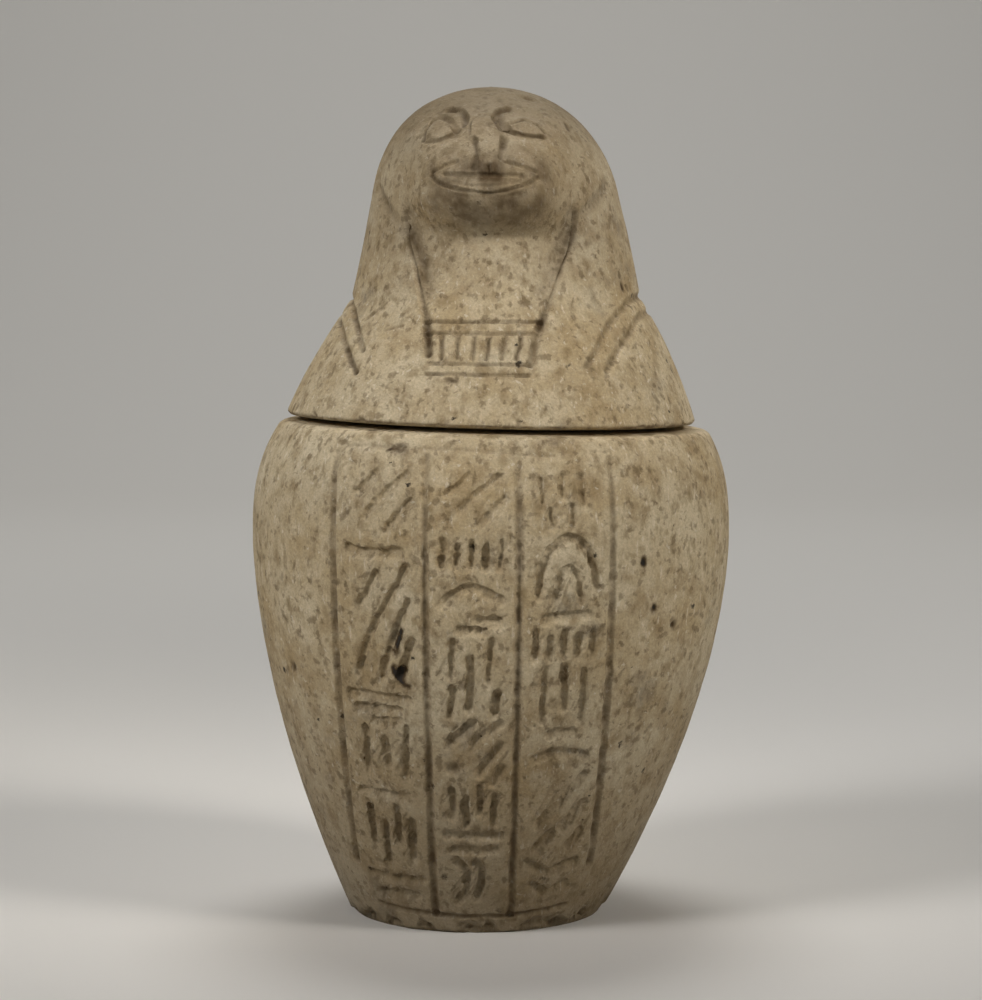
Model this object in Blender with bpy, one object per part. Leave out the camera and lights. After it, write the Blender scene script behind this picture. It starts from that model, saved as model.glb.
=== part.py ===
"""A canopic jar: a carved limestone jar, hollow, under a lid carved as a baboon's head in a wig.

Units are metres, +Z is up and the front faces -Y. The origin is on the ground under the middle of the belly.
Each carved skin is drawn flat first, as angle round the axis against length up the profile. Its background
rings and the edges of every groove are joined there by a constrained Delaunay triangulation, and each corner is
then lifted on to the round form.
"""

import math

import bmesh
import bpy
import numpy as np
from mathutils import Vector
from mathutils.geometry import delaunay_2d_cdt

# The jar's outside
BELLY_HEIGHT = 0.1381
SHOULDER_HEIGHT = 0.0415
BASE_RADIUS = 0.0470
BELLY_RADIUS = 0.0875
RIM_RADIUS = 0.0774
FLANK_CURVE = 1.70
SHOULDER_CURVE = 2.7
FOOT_SHIFT = -0.0051
BASE_EDGE = 0.0016
RIM_EDGE = 0.0022

# The jar's mouth and hollow
MOUTH_RADIUS = 0.0500
LIP_DEPTH = 0.0170
WALL = 0.0170
FLOOR = 0.0220
FLOOR_CORNER = 0.0120

# The joint between jar and lid, which slopes a little down to the right
JOINT_SLOPE = 0.026
JOINT_GAP = 0.0003
SEAT_RADIUS = 0.0610
RIM_FALL = 0.0007
LID_RISE = 0.0011
PLUG_DEPTH = 0.0120
PLUG_CLEARANCE = 0.0010
PLUG_CHAMFER = 0.0015

# The lid's outside
FLARE_HEIGHT = 0.0445
WIG_HEIGHT = 0.0367
DOME_HEIGHT = 0.0400
LID_RADIUS = 0.0751
HEM_RADIUS = 0.0530
TEMPLE_RADIUS = 0.0452
DOME_LEAN = 0.14
FLARE_BULGE = 0.28
LID_EDGE = 0.0016
HEAD_SHIFT = 0.0020
HEM_EASE = 0.0150

# The face, which stands forward of the dome
CHEEK_REACH = 0.0042
MUZZLE_REACH = 0.0064
NOSE_REACH = 0.0016
LIP_REACH = 0.0007
EYE_RISE = 0.0006
SOCKET_SINK = 0.0016
CHEST_SINK = 0.0028

# The inscription's panel on the jar's front
PANEL_CENTRE = -0.0064
PANEL_WIDTH = 0.0963
PANEL_CURVE = 0.36
PANEL_COLUMNS = 3
PANEL_TOP_MARGIN = 0.0056
PANEL_FOOT_MARGIN = 0.0066
PANEL_FOOT_LIFT = 0.0030
SIDE_RULE_STOP = 0.0180

# Widths and depths of the cuts
RULE_WIDTH = 0.0027
RULE_DEPTH = 0.0013
FINE_WIDTH = 0.0015
FINE_DEPTH = 0.0006
SIGN_WIDTH = 0.0017
SIGN_DEPTH = 0.0008
LAPPET_WIDTH = 0.0028
LAPPET_DEPTH = 0.0015
HEM_WIDTH = 0.0031
HEM_DEPTH = 0.0013
FACE_WIDTH = 0.0018
FACE_DEPTH = 0.0010

# How finely the solids are faceted
JAR_SIDES = 48
JAR_ROWS = 17
CAVITY_ROWS = 10
LID_SIDES = 44
LID_ROWS = 24
CROWN_SIDES = 16
FACE_STEP = 0.0030
PANEL_STEP = 0.0062
CUT_MARGIN = 0.0007

# Heights that follow from the sizes above
RIM_Z = BELLY_HEIGHT + SHOULDER_HEIGHT
SEAT_Z = RIM_Z + JOINT_GAP
HEM_Z = SEAT_Z + FLARE_HEIGHT
TEMPLE_Z = HEM_Z + WIG_HEIGHT
CROWN_Z = TEMPLE_Z + DOME_HEIGHT

MM = 1000.0
SAMPLES = 400


def smooth(share):
    """0 below 0, 1 above 1, and an even ease between."""
    share = np.clip(share, 0.0, 1.0)
    return share * share * (3.0 - 2.0 * share)


def rounding(depth, radius):
    """How far a quarter-round edge has drawn in at this depth below the end of the form."""
    lost = np.clip(1.0 - depth / radius, 0.0, 1.0)
    return radius * (1.0 - np.sqrt(1.0 - lost * lost))


def jar_radius(z):
    """The jar's outside radius: a long flank below the belly and a short shoulder above it."""
    below = np.clip((BELLY_HEIGHT - z) / BELLY_HEIGHT, 0.0, None)
    above = np.clip((z - BELLY_HEIGHT) / SHOULDER_HEIGHT, 0.0, None)
    flank = (BELLY_RADIUS - BASE_RADIUS) * below**FLANK_CURVE
    shoulder = (BELLY_RADIUS - RIM_RADIUS) * above**SHOULDER_CURVE
    return BELLY_RADIUS - flank - shoulder


def jar_axis(z):
    """The jar was cut with its foot a little to the left of its belly."""
    return FOOT_SHIFT * np.clip((BELLY_HEIGHT - z) / BELLY_HEIGHT, 0.0, None) ** FLANK_CURVE


def lid_outline():
    """Radius and height up the lid: a flared shoulder, the wig's straight side, then a dome."""
    flare = np.linspace(1.0, 0.0, SAMPLES // 4, endpoint=False)
    side = np.linspace(0.0, 1.0, SAMPLES // 4, endpoint=False)
    dome = np.linspace(0.0, math.pi / 2, SAMPLES // 2)
    spread = flare * (1.0 + FLARE_BULGE - FLARE_BULGE * flare)
    lean = 1.0 - DOME_LEAN * np.sin(dome) * (1.0 - np.sin(dome))
    radius = np.concatenate(
        [
            HEM_RADIUS + (LID_RADIUS - HEM_RADIUS) * spread,
            HEM_RADIUS + (TEMPLE_RADIUS - HEM_RADIUS) * side,
            TEMPLE_RADIUS * np.cos(dome) * lean,
        ]
    )
    height = np.concatenate(
        [
            HEM_Z - (FLARE_HEIGHT - LID_RISE) * flare,
            HEM_Z + WIG_HEIGHT * side,
            TEMPLE_Z + DOME_HEIGHT * np.sin(dome),
        ]
    )
    return radius, height


def lengths_along(radius, height):
    steps = np.hypot(np.diff(radius), np.diff(height))
    return np.concatenate([[0.0], np.cumsum(steps)])


JAR_HEIGHTS = np.linspace(0.0, RIM_Z - RIM_FALL, SAMPLES)
JAR_LENGTHS = lengths_along(jar_radius(JAR_HEIGHTS), JAR_HEIGHTS)
LID_RADII, LID_HEIGHTS = lid_outline()
LID_LENGTHS = lengths_along(LID_RADII, LID_HEIGHTS)
HEM_LENGTH = np.interp(HEM_Z, LID_HEIGHTS, LID_LENGTHS)


def lid_level(z):
    """Storeys up the lid: 0 at the joint, 1 at the wig's hem, 2 at the temples, 3 at the crown."""
    return np.interp(z, [SEAT_Z, HEM_Z, TEMPLE_Z, CROWN_Z], [0.0, 1.0, 2.0, 3.0])


def level_height(level):
    return np.interp(level, [0.0, 1.0, 2.0, 3.0], [SEAT_Z, HEM_Z, TEMPLE_Z, CROWN_Z])


def lid_axis(z):
    """The wig leans a little to the right between the hem and the temples."""
    return HEAD_SHIFT * np.sin(np.clip(lid_level(z) / 2.8, 0.0, 1.0) * math.pi)


def jar_surface(angle, length):
    """Points of the uncarved jar, and its axis at each, for an angle from the front and a length up."""
    z = np.interp(length, JAR_LENGTHS, JAR_HEIGHTS)
    reach = jar_radius(z)
    z = z - JOINT_SLOPE * reach * np.sin(angle) * smooth((z - BELLY_HEIGHT) / SHOULDER_HEIGHT)
    radius = jar_radius(z) - rounding(length, BASE_EDGE)
    radius = radius - rounding(JAR_LENGTHS[-1] - length, RIM_EDGE)
    x = jar_axis(z) + radius * np.sin(angle)
    return np.stack([x, -radius * np.cos(angle), z], axis=-1)


LAPPET_LEVELS = [0.45, 0.58, 0.78, 1.0, 1.25, 1.55, 1.85, 2.1]
LEFT_LAPPET = np.radians([-20.5, -21.1, -23.6, -28.2, -32.5, -38.4, -43.9, -48.5])
RIGHT_LAPPET = np.radians([10.5, 11.6, 14.9, 19.8, 24.8, 32.0, 37.4, 43.0])


# The muzzle's side view: how far it stands out, as a share of its reach, from under the chin to the brow
MUZZLE_LEVELS = [-0.50, -0.39, -0.22, -0.06, 0.10, 0.24, 0.48, 0.78, 0.95]
MUZZLE_SHARES = [0.0, 0.0, 0.48, 0.93, 1.0, 0.93, 0.52, 0.0, 0.0]

# Left and right eye: centre across and up, half length, half width, and slope in degrees,
# with the sizes in shares of the head's radius and height
EYES = [(-0.41, 0.575, 0.165, 0.118, 22.0), (0.27, 0.585, 0.185, 0.108, -14.0)]


def flowing(at, places, values):
    """A smooth curve through a few given values."""
    places, values = np.array(places, float), np.array(values, float)
    slopes = np.gradient(values, places)
    at = np.clip(at, places[0], places[-1])
    k = np.clip(np.searchsorted(places, at) - 1, 0, len(places) - 2)
    step, rise = (places[1:] - places[:-1])[k], (values[1:] - values[:-1])[k]
    leave, arrive = slopes[k] * step, slopes[k + 1] * step
    t = (at - places[k]) / step
    return values[k] + t * (leave + t * (3 * rise - 2 * leave - arrive + t * (leave + arrive - 2 * rise)))


def hump(across, up, centre, half, slope=0.0, power=2.0):
    """A soft oval mound: 1 in the middle, falling to 0 at its edge."""
    turn = math.radians(slope)
    along = ((across - centre[0]) * math.cos(turn) + (up - centre[1]) * math.sin(turn)) / half[0]
    over = ((up - centre[1]) * math.cos(turn) - (across - centre[0]) * math.sin(turn)) / half[1]
    return smooth(1.25 * (1.0 - np.abs(along) ** power - np.abs(over) ** power))


def face_relief(x, z):
    """How far the face stands forward of the dome, seen from the front."""
    across = x / TEMPLE_RADIUS
    up = (z - TEMPLE_Z) / DOME_HEIGHT
    below = hump(across, up, (0.0, 0.12), (0.95, 0.51), power=2.5)
    above = hump(across, up, (0.0, 0.12), (0.95, 0.82), power=2.5)
    cheeks = np.where(up < 0.12, below, above)
    side = smooth(1.3 * (1.0 - np.abs((across + 0.06) / 0.68) ** 2.2))
    muzzle = flowing(up, MUZZLE_LEVELS, MUZZLE_SHARES) * side
    ridge = hump(across, up, (-0.045, 0.42), (0.14, 0.28), power=2.6)
    knob = hump(across, up, (-0.050, 0.585), (0.18, 0.17), power=2.6)
    nose = np.maximum(ridge, 0.9 * knob)
    lip = hump(across, up, (-0.06, 0.045), (0.36, 0.078))
    relief = CHEEK_REACH * cheeks + MUZZLE_REACH * muzzle + NOSE_REACH * nose + LIP_REACH * lip
    for middle, height, half_long, half_wide, slope in EYES:
        ball = hump(across, up, (middle, height), (half_long, half_wide), slope)
        inner = middle - math.copysign(0.025, middle)
        socket = hump(across, up, (inner, height + 0.035), (half_long * 1.45, half_wide * 1.6), slope)
        relief = relief + (EYE_RISE + SOCKET_SINK) * ball - SOCKET_SINK * socket
    return relief


def chest_relief(angle, z):
    """The chest lies deeper than the two lappets of the wig, down to the collar."""
    level = lid_level(z)
    left = flowing(level, LAPPET_LEVELS, LEFT_LAPPET)
    right = flowing(level, LAPPET_LEVELS, RIGHT_LAPPET)
    inward = np.minimum(angle - left, right - angle)
    sunk = smooth(inward / 0.06) * (1.0 - 0.5 * smooth(inward / 0.45))
    return -CHEST_SINK * sunk * smooth((level - 0.80) / 0.45) * smooth((2.0 - level) / 0.25)


def lid_radius(angle, length):
    """The lid's radius, with the corner at the wig's hem eased away across the front."""
    sharp = np.interp(length, LID_LENGTHS, LID_RADII)
    around = [np.interp(length + shift, LID_LENGTHS, LID_RADII) for shift in np.linspace(-HEM_EASE, HEM_EASE, 7)]
    near = np.exp(-(((length - HEM_LENGTH) / HEM_EASE) ** 2)) * smooth((np.cos(angle) - 0.45) / 0.40)
    return sharp + near * (np.mean(around, axis=0) - sharp)


def lid_surface(angle, length):
    """Points of the lid with its face and chest, but without its cut lines."""
    radius = lid_radius(angle, length) - rounding(length, LID_EDGE)
    z = np.interp(length, LID_LENGTHS, LID_HEIGHTS)
    fade = smooth((HEM_Z - z) / FLARE_HEIGHT)
    x = lid_axis(z) + radius * np.sin(angle)
    y = -radius * np.cos(angle)
    front = smooth(np.cos(angle) / 0.35)
    y = y - front * (face_relief(x - lid_axis(z), z) + chest_relief(angle, z))
    z = z - JOINT_SLOPE * radius * np.sin(angle) * fade
    return np.stack([x, y, z], axis=-1)


def curve_through(points, steps):
    """A smooth line through a few points, as Catmull-Rom arcs of so many steps each."""
    given = np.array(points, float)
    padded = np.vstack([2 * given[0] - given[1], given, 2 * given[-1] - given[-2]])
    made = [given[0]]
    for a, b, c, d in zip(padded, padded[1:], padded[2:], padded[3:]):
        for k in range(1, steps + 1):
            t = k / steps
            ease = (2 * a - 5 * b + 4 * c - d) * t * t + (3 * b - a - 3 * c + d) * t**3
            made.append(0.5 * (2 * b + (c - a) * t + ease))
    return np.array(made)


class Skin:
    """A round form's flat drawing: lines to cut into it, and points to hold its shape."""

    def __init__(self, surface, radius_at, lengths):
        self.surface = surface
        self.radius_at = radius_at
        self.top = lengths[-1]
        self.cuts = []

    def cut(self, path, width, depth):
        """Cuts a V groove along a path of (angle, length) points."""
        self.cuts.append((np.array(path, float), width / 2, depth))

    def metric(self, length):
        return self.radius_at(length)

    def flat(self, path):
        """A path with its angles turned into metres, at each point's own radius."""
        return np.stack([path[:, 0] * self.metric(path[:, 1]), path[:, 1]], axis=1)

    def gap_to(self, path, angle, length):
        """Distance from points to a path, measured on the form."""
        scale = self.metric(length)
        best = np.full(np.shape(angle), np.inf)
        for (a0, s0), (a1, s1) in zip(path, path[1:]):
            run = np.stack([(a1 - a0) * scale, np.full_like(scale, s1 - s0)])
            away = np.stack([(angle - a0) * scale, length - s0])
            share = np.clip((run * away).sum(0) / np.maximum((run * run).sum(0), 1e-18), 0.0, 1.0)
            best = np.minimum(best, np.hypot(*(away - share * run)))
        return best

    def carved(self, angle, length):
        """The surface's points with every cut taken out of them."""
        depth = np.zeros(np.shape(angle))
        for path, half, deep in self.cuts:
            share = 1.0 - self.gap_to(path, angle, length) / half
            depth = np.maximum(depth, deep * np.clip(share, 0.0, 1.0))
        points = self.surface(angle, length)
        inward = np.stack([-np.sin(angle), np.cos(angle), np.zeros_like(depth)], axis=-1)
        return points + inward * depth[:, None]

    def outlines(self):
        """Each cut's middle line, and the line round its edge, as flat paths."""
        for path, half, _ in self.cuts:
            flat = self.flat(path)
            ahead = np.gradient(flat, axis=0)
            ahead /= np.maximum(np.linalg.norm(ahead, axis=1, keepdims=True), 1e-12)
            side = np.stack([-ahead[:, 1], ahead[:, 0]], axis=1) * half
            ends = [flat[:1] - ahead[:1] * half, flat[-1:] + ahead[-1:] * half]
            edge = np.vstack([ends[0], flat + side, ends[1], (flat - side)[::-1], ends[0]])
            for line in (flat, edge):
                scale = self.metric(np.clip(line[:, 1], 0.0, self.top))
                angles = np.clip(line[:, 0] / scale, -math.pi, math.pi)
                yield np.stack([angles, np.clip(line[:, 1], 0.0, self.top)], axis=1)

    def clear_of_cuts(self, places):
        """Those places that no groove passes close to."""
        clear = np.full(len(places), True)
        for path, half, _ in self.cuts:
            clear &= self.gap_to(path, places[:, 0], places[:, 1]) > half + CUT_MARGIN
        return places[clear]

    def build(self, bm, rings, extra):
        """Adds the carved skin to bm and returns its lowest and highest rings of corners."""
        reference = BELLY_RADIUS * MM
        border, inner = [], list(extra)
        for length, sides in rings:
            ring = [(angle, length) for angle in np.linspace(-math.pi, math.pi, sides + 1)]
            at_an_end = length in (0.0, self.top)
            border += ring if at_an_end else [ring[0], ring[-1]]
            inner += [] if at_an_end else ring[1:-1]
        kept = np.vstack([border, self.clear_of_cuts(np.array(inner))])
        points, edges = [(angle * reference, length * MM) for angle, length in kept], []
        for line in self.outlines():
            first = len(points)
            points += [(a * reference, s * MM) for a, s in line]
            edges += [(k, k + 1) for k in range(first, len(points) - 1)]
        drawn = delaunay_2d_cdt([Vector(p) for p in points], edges, [], 0, 1e-3)
        flat = np.array([tuple(v) for v in drawn[0]], float)
        angle = flat[:, 0] / reference
        length = np.clip(flat[:, 1] / MM, 0.0, self.top)
        corners = [bm.verts.new(p) for p in self.carved(angle, length)]
        twin = self.join_the_back(corners, angle, length)
        for face in drawn[2]:
            loop = [twin[i] for i in face]
            if len(set(loop)) == 3:
                bm.faces.new(loop)
        return self.ring(twin, angle, length, 0.0), self.ring(twin, angle, length, self.top)

    @staticmethod
    def join_the_back(corners, angle, length):
        """The drawing's left and right borders are one line down the back of the form."""
        left = {round(length[i] * MM, 2): i for i in np.where(angle < -3.14158)[0]}
        twin = list(corners)
        for i in np.where(angle > 3.14158)[0]:
            nearest = min(left, key=lambda key: abs(key - length[i] * MM))
            twin[i] = corners[left[nearest]]
        return twin

    @staticmethod
    def ring(twin, angle, length, at):
        on = [i for i in np.argsort(angle) if abs(length[i] - at) < 1e-7 and angle[i] < 3.14158]
        return [twin[i] for i in on], np.array([angle[i] for i in on])


def add_ring(bm, angles, radius, height, axis, slope=JOINT_SLOPE):
    """A ring of corners round an axis, on a plane that slopes down to the right."""
    made = []
    for angle in angles:
        x, y = radius * math.sin(angle), -radius * math.cos(angle)
        made.append(bm.verts.new((axis + x, y, height - slope * x)))
    return made


def bridge(bm, low, high):
    for k in range(len(low)):
        n = (k + 1) % len(low)
        bm.faces.new((low[k], low[n], high[n], high[k]))


def close(bm, ring, centre):
    """A fan from a ring to its centre."""
    middle = bm.verts.new(centre)
    for k in range(len(ring)):
        bm.faces.new((ring[k], ring[(k + 1) % len(ring)], middle))


def finish(name, bm, material):
    """Turns the bmesh into a named object whose faces point outwards."""
    loose = [v for v in bm.verts if not v.link_faces]
    bmesh.ops.delete(bm, geom=loose, context="VERTS")
    bmesh.ops.recalc_face_normals(bm, faces=bm.faces)
    mesh = bpy.data.meshes.new(name)
    bm.to_mesh(mesh)
    bm.free()
    mesh.shade_smooth()
    mesh.set_sharp_from_angle(angle=math.radians(35.0))
    mesh.materials.append(material)
    made = bpy.data.objects.new(name, mesh)
    bpy.context.scene.collection.objects.link(made)
    return made


def limestone(name, colour):
    material = bpy.data.materials.new(name)
    material.use_nodes = True
    shader = material.node_tree.nodes["Principled BSDF"]
    shader.inputs["Base Color"].default_value = (*colour, 1.0)
    shader.inputs["Roughness"].default_value = 0.72
    shader.inputs["Metallic"].default_value = 0.0
    return material


# The inscription is rows of plain strokes, each row one group drawn in a cell of one by one.
# A stroke is a short path of (across, up) shares of its cell.
GROUPS = {
    "slants": [[(0.86, 0.94), (0.58, 0.68), (0.34, 0.40)], [(0.92, 0.60), (0.60, 0.20)], [(0.46, 0.94), (0.18, 0.66)]],
    "bar": [[(0.10, 0.60), (0.44, 0.46), (0.78, 0.50)]],
    "plume": [
        [(0.86, 0.97), (0.62, 0.72), (0.34, 0.42), (0.20, 0.14)],
        [(0.88, 0.70), (0.66, 0.42), (0.50, 0.10)],
        [(0.92, 0.40), (0.78, 0.14)],
        [(0.46, 0.92), (0.22, 0.66)],
    ],
    "bars": [[(0.06, 0.88), (0.86, 0.76)], [(0.16, 0.48), (0.74, 0.42)], [(0.36, 0.10), (0.72, 0.12)]],
    "drops": [[(0.24, 0.92), (0.22, 0.22)], [(0.50, 0.74), (0.53, 0.34)], [(0.80, 0.95), (0.78, 0.14)]],
    "stems": [
        [(0.20, 0.90), (0.22, 0.36)],
        [(0.40, 0.70), (0.41, 0.10)],
        [(0.60, 0.94), (0.62, 0.42)],
        [(0.82, 0.76), (0.80, 0.20)],
    ],
    "pair": [[(0.10, 0.84), (0.50, 0.74), (0.92, 0.80)], [(0.20, 0.22), (0.84, 0.26)]],
    "nicks": [[(0.10 + 0.19 * k, 0.22), (0.12 + 0.19 * k, 0.84 - 0.14 * (k % 2))] for k in range(5)],
    "arch": [[(0.12, 0.24), (0.34, 0.60), (0.62, 0.62), (0.88, 0.30)]],
    "dashes": [[(0.56, 0.72), (0.84, 0.62)], [(0.30, 0.28), (0.66, 0.22)]],
    "sticks": [
        [(0.24, 0.94), (0.20, 0.54)],
        [(0.48, 0.72), (0.46, 0.12)],
        [(0.76, 0.95), (0.70, 0.44)],
        [(0.24, 0.36), (0.20, 0.06)],
        [(0.84, 0.30), (0.80, 0.08)],
    ],
    "fan": [
        [(0.88, 0.95), (0.56, 0.66), (0.26, 0.30)],
        [(0.90, 0.62), (0.58, 0.20)],
        [(0.50, 0.94), (0.16, 0.62)],
        [(0.92, 0.28), (0.80, 0.08)],
    ],
    "ripples": [
        [(0.24, 0.92), (0.40, 0.70), (0.40, 0.34), (0.26, 0.12)],
        [(0.52, 0.88), (0.64, 0.66), (0.64, 0.38), (0.54, 0.18)],
    ],
    "ticks": [
        [(0.18, 0.90), (0.20, 0.46)],
        [(0.44, 0.96), (0.45, 0.60)],
        [(0.70, 0.88), (0.72, 0.44)],
        [(0.30, 0.36), (0.32, 0.08)],
        [(0.58, 0.40), (0.58, 0.06)],
    ],
    "swells": [
        [(0.14, 0.34), (0.24, 0.72), (0.52, 0.92), (0.80, 0.76), (0.90, 0.38)],
        [(0.36, 0.30), (0.44, 0.56), (0.62, 0.56), (0.70, 0.30)],
        [(0.22, 0.08), (0.80, 0.12)],
    ],
    "posts": [
        [(0.24, 0.92), (0.22, 0.30)],
        [(0.50, 0.97), (0.52, 0.44)],
        [(0.78, 0.90), (0.76, 0.24)],
        [(0.34, 0.10), (0.66, 0.12)],
    ],
    "lens": [[(0.14, 0.44), (0.46, 0.64), (0.86, 0.46)]],
    "chips": [
        [(0.86, 0.94), (0.60, 0.74)],
        [(0.56, 0.66), (0.24, 0.38)],
        [(0.90, 0.60), (0.58, 0.32)],
        [(0.46, 0.28), (0.24, 0.08)],
        [(0.88, 0.26), (0.70, 0.08)],
    ],
    "trough": [[(0.10, 0.86), (0.44, 0.64), (0.86, 0.80)], [(0.22, 0.40), (0.46, 0.22), (0.76, 0.36)]],
}

# Each column from the top: its groups, and each group's share of the column's height
COLUMNS = [
    [("slants", 14), ("bar", 4), ("plume", 26), ("bars", 7), ("drops", 13), ("bar", 4), ("stems", 15), ("pair", 7)],
    [
        *[("slants", 13), ("nicks", 8), ("arch", 8), ("dashes", 5), ("sticks", 18), ("fan", 15)],
        *[("stems", 10), ("pair", 6), ("ripples", 12)],
    ],
    [("ticks", 10), ("swells", 17), ("nicks", 7), ("posts", 14), ("lens", 6), ("chips", 16), ("trough", 10)],
]
COLUMN_START = 0.04
COLUMN_END = 0.97
COLUMN_INSET = 0.09


def panel_x(share, z):
    """Across the panel, from 0 at its left rule to 1 at its right rule. It narrows with the jar."""
    width = PANEL_WIDTH * (jar_radius(z) / BELLY_RADIUS) ** PANEL_CURVE
    return PANEL_CENTRE + (share - 0.5) * width


def panel_foot(x):
    """The panel's lower rule is cut a little higher at its sides."""
    return PANEL_FOOT_MARGIN + PANEL_FOOT_LIFT * ((x - PANEL_CENTRE) / (0.4 * PANEL_WIDTH)) ** 2


def on_jar(share, z):
    """Angle and length on the jar of a place in the panel."""
    radius = jar_radius(z)
    offset = np.clip((panel_x(share, z) - jar_axis(z)) / radius, -0.95, 0.95)
    return np.stack([np.arcsin(offset), np.interp(z, JAR_HEIGHTS, JAR_LENGTHS)], axis=-1)


def jar_cuts(skin):
    """The panel's rules, then its rows of strokes."""
    top = RIM_Z - PANEL_TOP_MARGIN
    for k in range(PANEL_COLUMNS + 1):
        outer = k in (0, PANEL_COLUMNS)
        foot = PANEL_FOOT_MARGIN + (SIDE_RULE_STOP if outer else RULE_WIDTH * 0.3)
        heights = np.linspace(foot, top - RULE_WIDTH, 12)
        skin.cut(on_jar(np.full(12, k / PANEL_COLUMNS), heights), RULE_WIDTH, RULE_DEPTH)
    shares = np.linspace(0.02, 0.80, 8)
    skin.cut(on_jar(shares, np.full(8, top)), FINE_WIDTH, FINE_DEPTH)
    shares = np.linspace(0.08, 0.92, 9)
    middle = panel_x(shares, PANEL_FOOT_MARGIN)
    skin.cut(on_jar(shares, panel_foot(middle)), FINE_WIDTH, FINE_DEPTH)

    height = top - PANEL_FOOT_MARGIN
    for column, groups in enumerate(COLUMNS):
        total = sum(size for _, size in groups)
        start = COLUMN_START
        for name, size in groups:
            cell = (COLUMN_END - COLUMN_START) * size / total
            for stroke in GROUPS[name]:
                across, up = np.array(stroke).T
                inset = COLUMN_INSET + across * (1.0 - 2.0 * COLUMN_INSET)
                z = top - height * (start + cell * (1.0 - up))
                path = on_jar((column + inset) / PANEL_COLUMNS, z)
                skin.cut(path, SIGN_WIDTH, SIGN_DEPTH)
            start += cell


def on_lid(degrees, levels):
    """Angle and length on the lid of places given in degrees from the front and storeys up."""
    heights = level_height(np.array(levels, float))
    return np.stack([np.radians(degrees), np.interp(heights, LID_HEIGHTS, LID_LENGTHS)], axis=-1)


def on_face(across, up):
    """Angle and length on the head of places in shares of its radius and height."""
    z = TEMPLE_Z + np.array(up, float) * DOME_HEIGHT
    radius = np.interp(z, LID_HEIGHTS, LID_RADII)
    angle = np.arcsin(np.clip(np.array(across) * TEMPLE_RADIUS / radius, -0.98, 0.98))
    return np.stack([angle, np.interp(z, LID_HEIGHTS, LID_LENGTHS)], axis=-1)


COLLAR_TOP = 0.835
COLLAR_MIDDLE = 0.745
COLLAR_FOOT = 0.555
COLLAR_PENDANTS = 7
BAR_FOOT = 0.430

# Lines of the face in shares of the head's radius, across, and of its height, up
MOUTH_LINES = [
    [(-0.490, 0.195), (-0.293, 0.285)],
    [(0.095, 0.280), (0.318, 0.195)],
    [(-0.390, 0.172), (-0.12, 0.163), (0.20, 0.155)],
    [(-0.492, 0.165), (-0.436, 0.098), (-0.246, 0.025), (-0.023, -0.005), (0.232, 0.075), (0.328, 0.140)],
    [(-0.041, 0.250), (-0.041, 0.185)],
]
NOSE_LINES = [
    [(-0.150, 0.47), (-0.148, 0.35), (-0.160, 0.23)],
    [(0.085, 0.48), (0.072, 0.38), (0.066, 0.31)],
]
EYE_LINES = [
    [(-0.545, 0.475), (-0.525, 0.57), (-0.460, 0.665), (-0.390, 0.695), (-0.320, 0.650), (-0.272, 0.545)],
    [(-0.345, 0.760), (-0.262, 0.755), (-0.212, 0.69), (-0.214, 0.62)],
    [(0.130, 0.765), (0.062, 0.735), (0.034, 0.66), (0.070, 0.59)],
    [(0.180, 0.675), (0.280, 0.685), (0.367, 0.630), (0.408, 0.56)],
    [(0.105, 0.568), (0.232, 0.513), (0.391, 0.495)],
]
CHEEK_LINES = [
    [(-0.93, 0.06), (-0.88, -0.06), (-0.80, -0.20), (-0.72, -0.31)],
    [(0.89, 0.12), (0.84, 0.02), (0.76, -0.08), (0.69, -0.17)],
]


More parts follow.
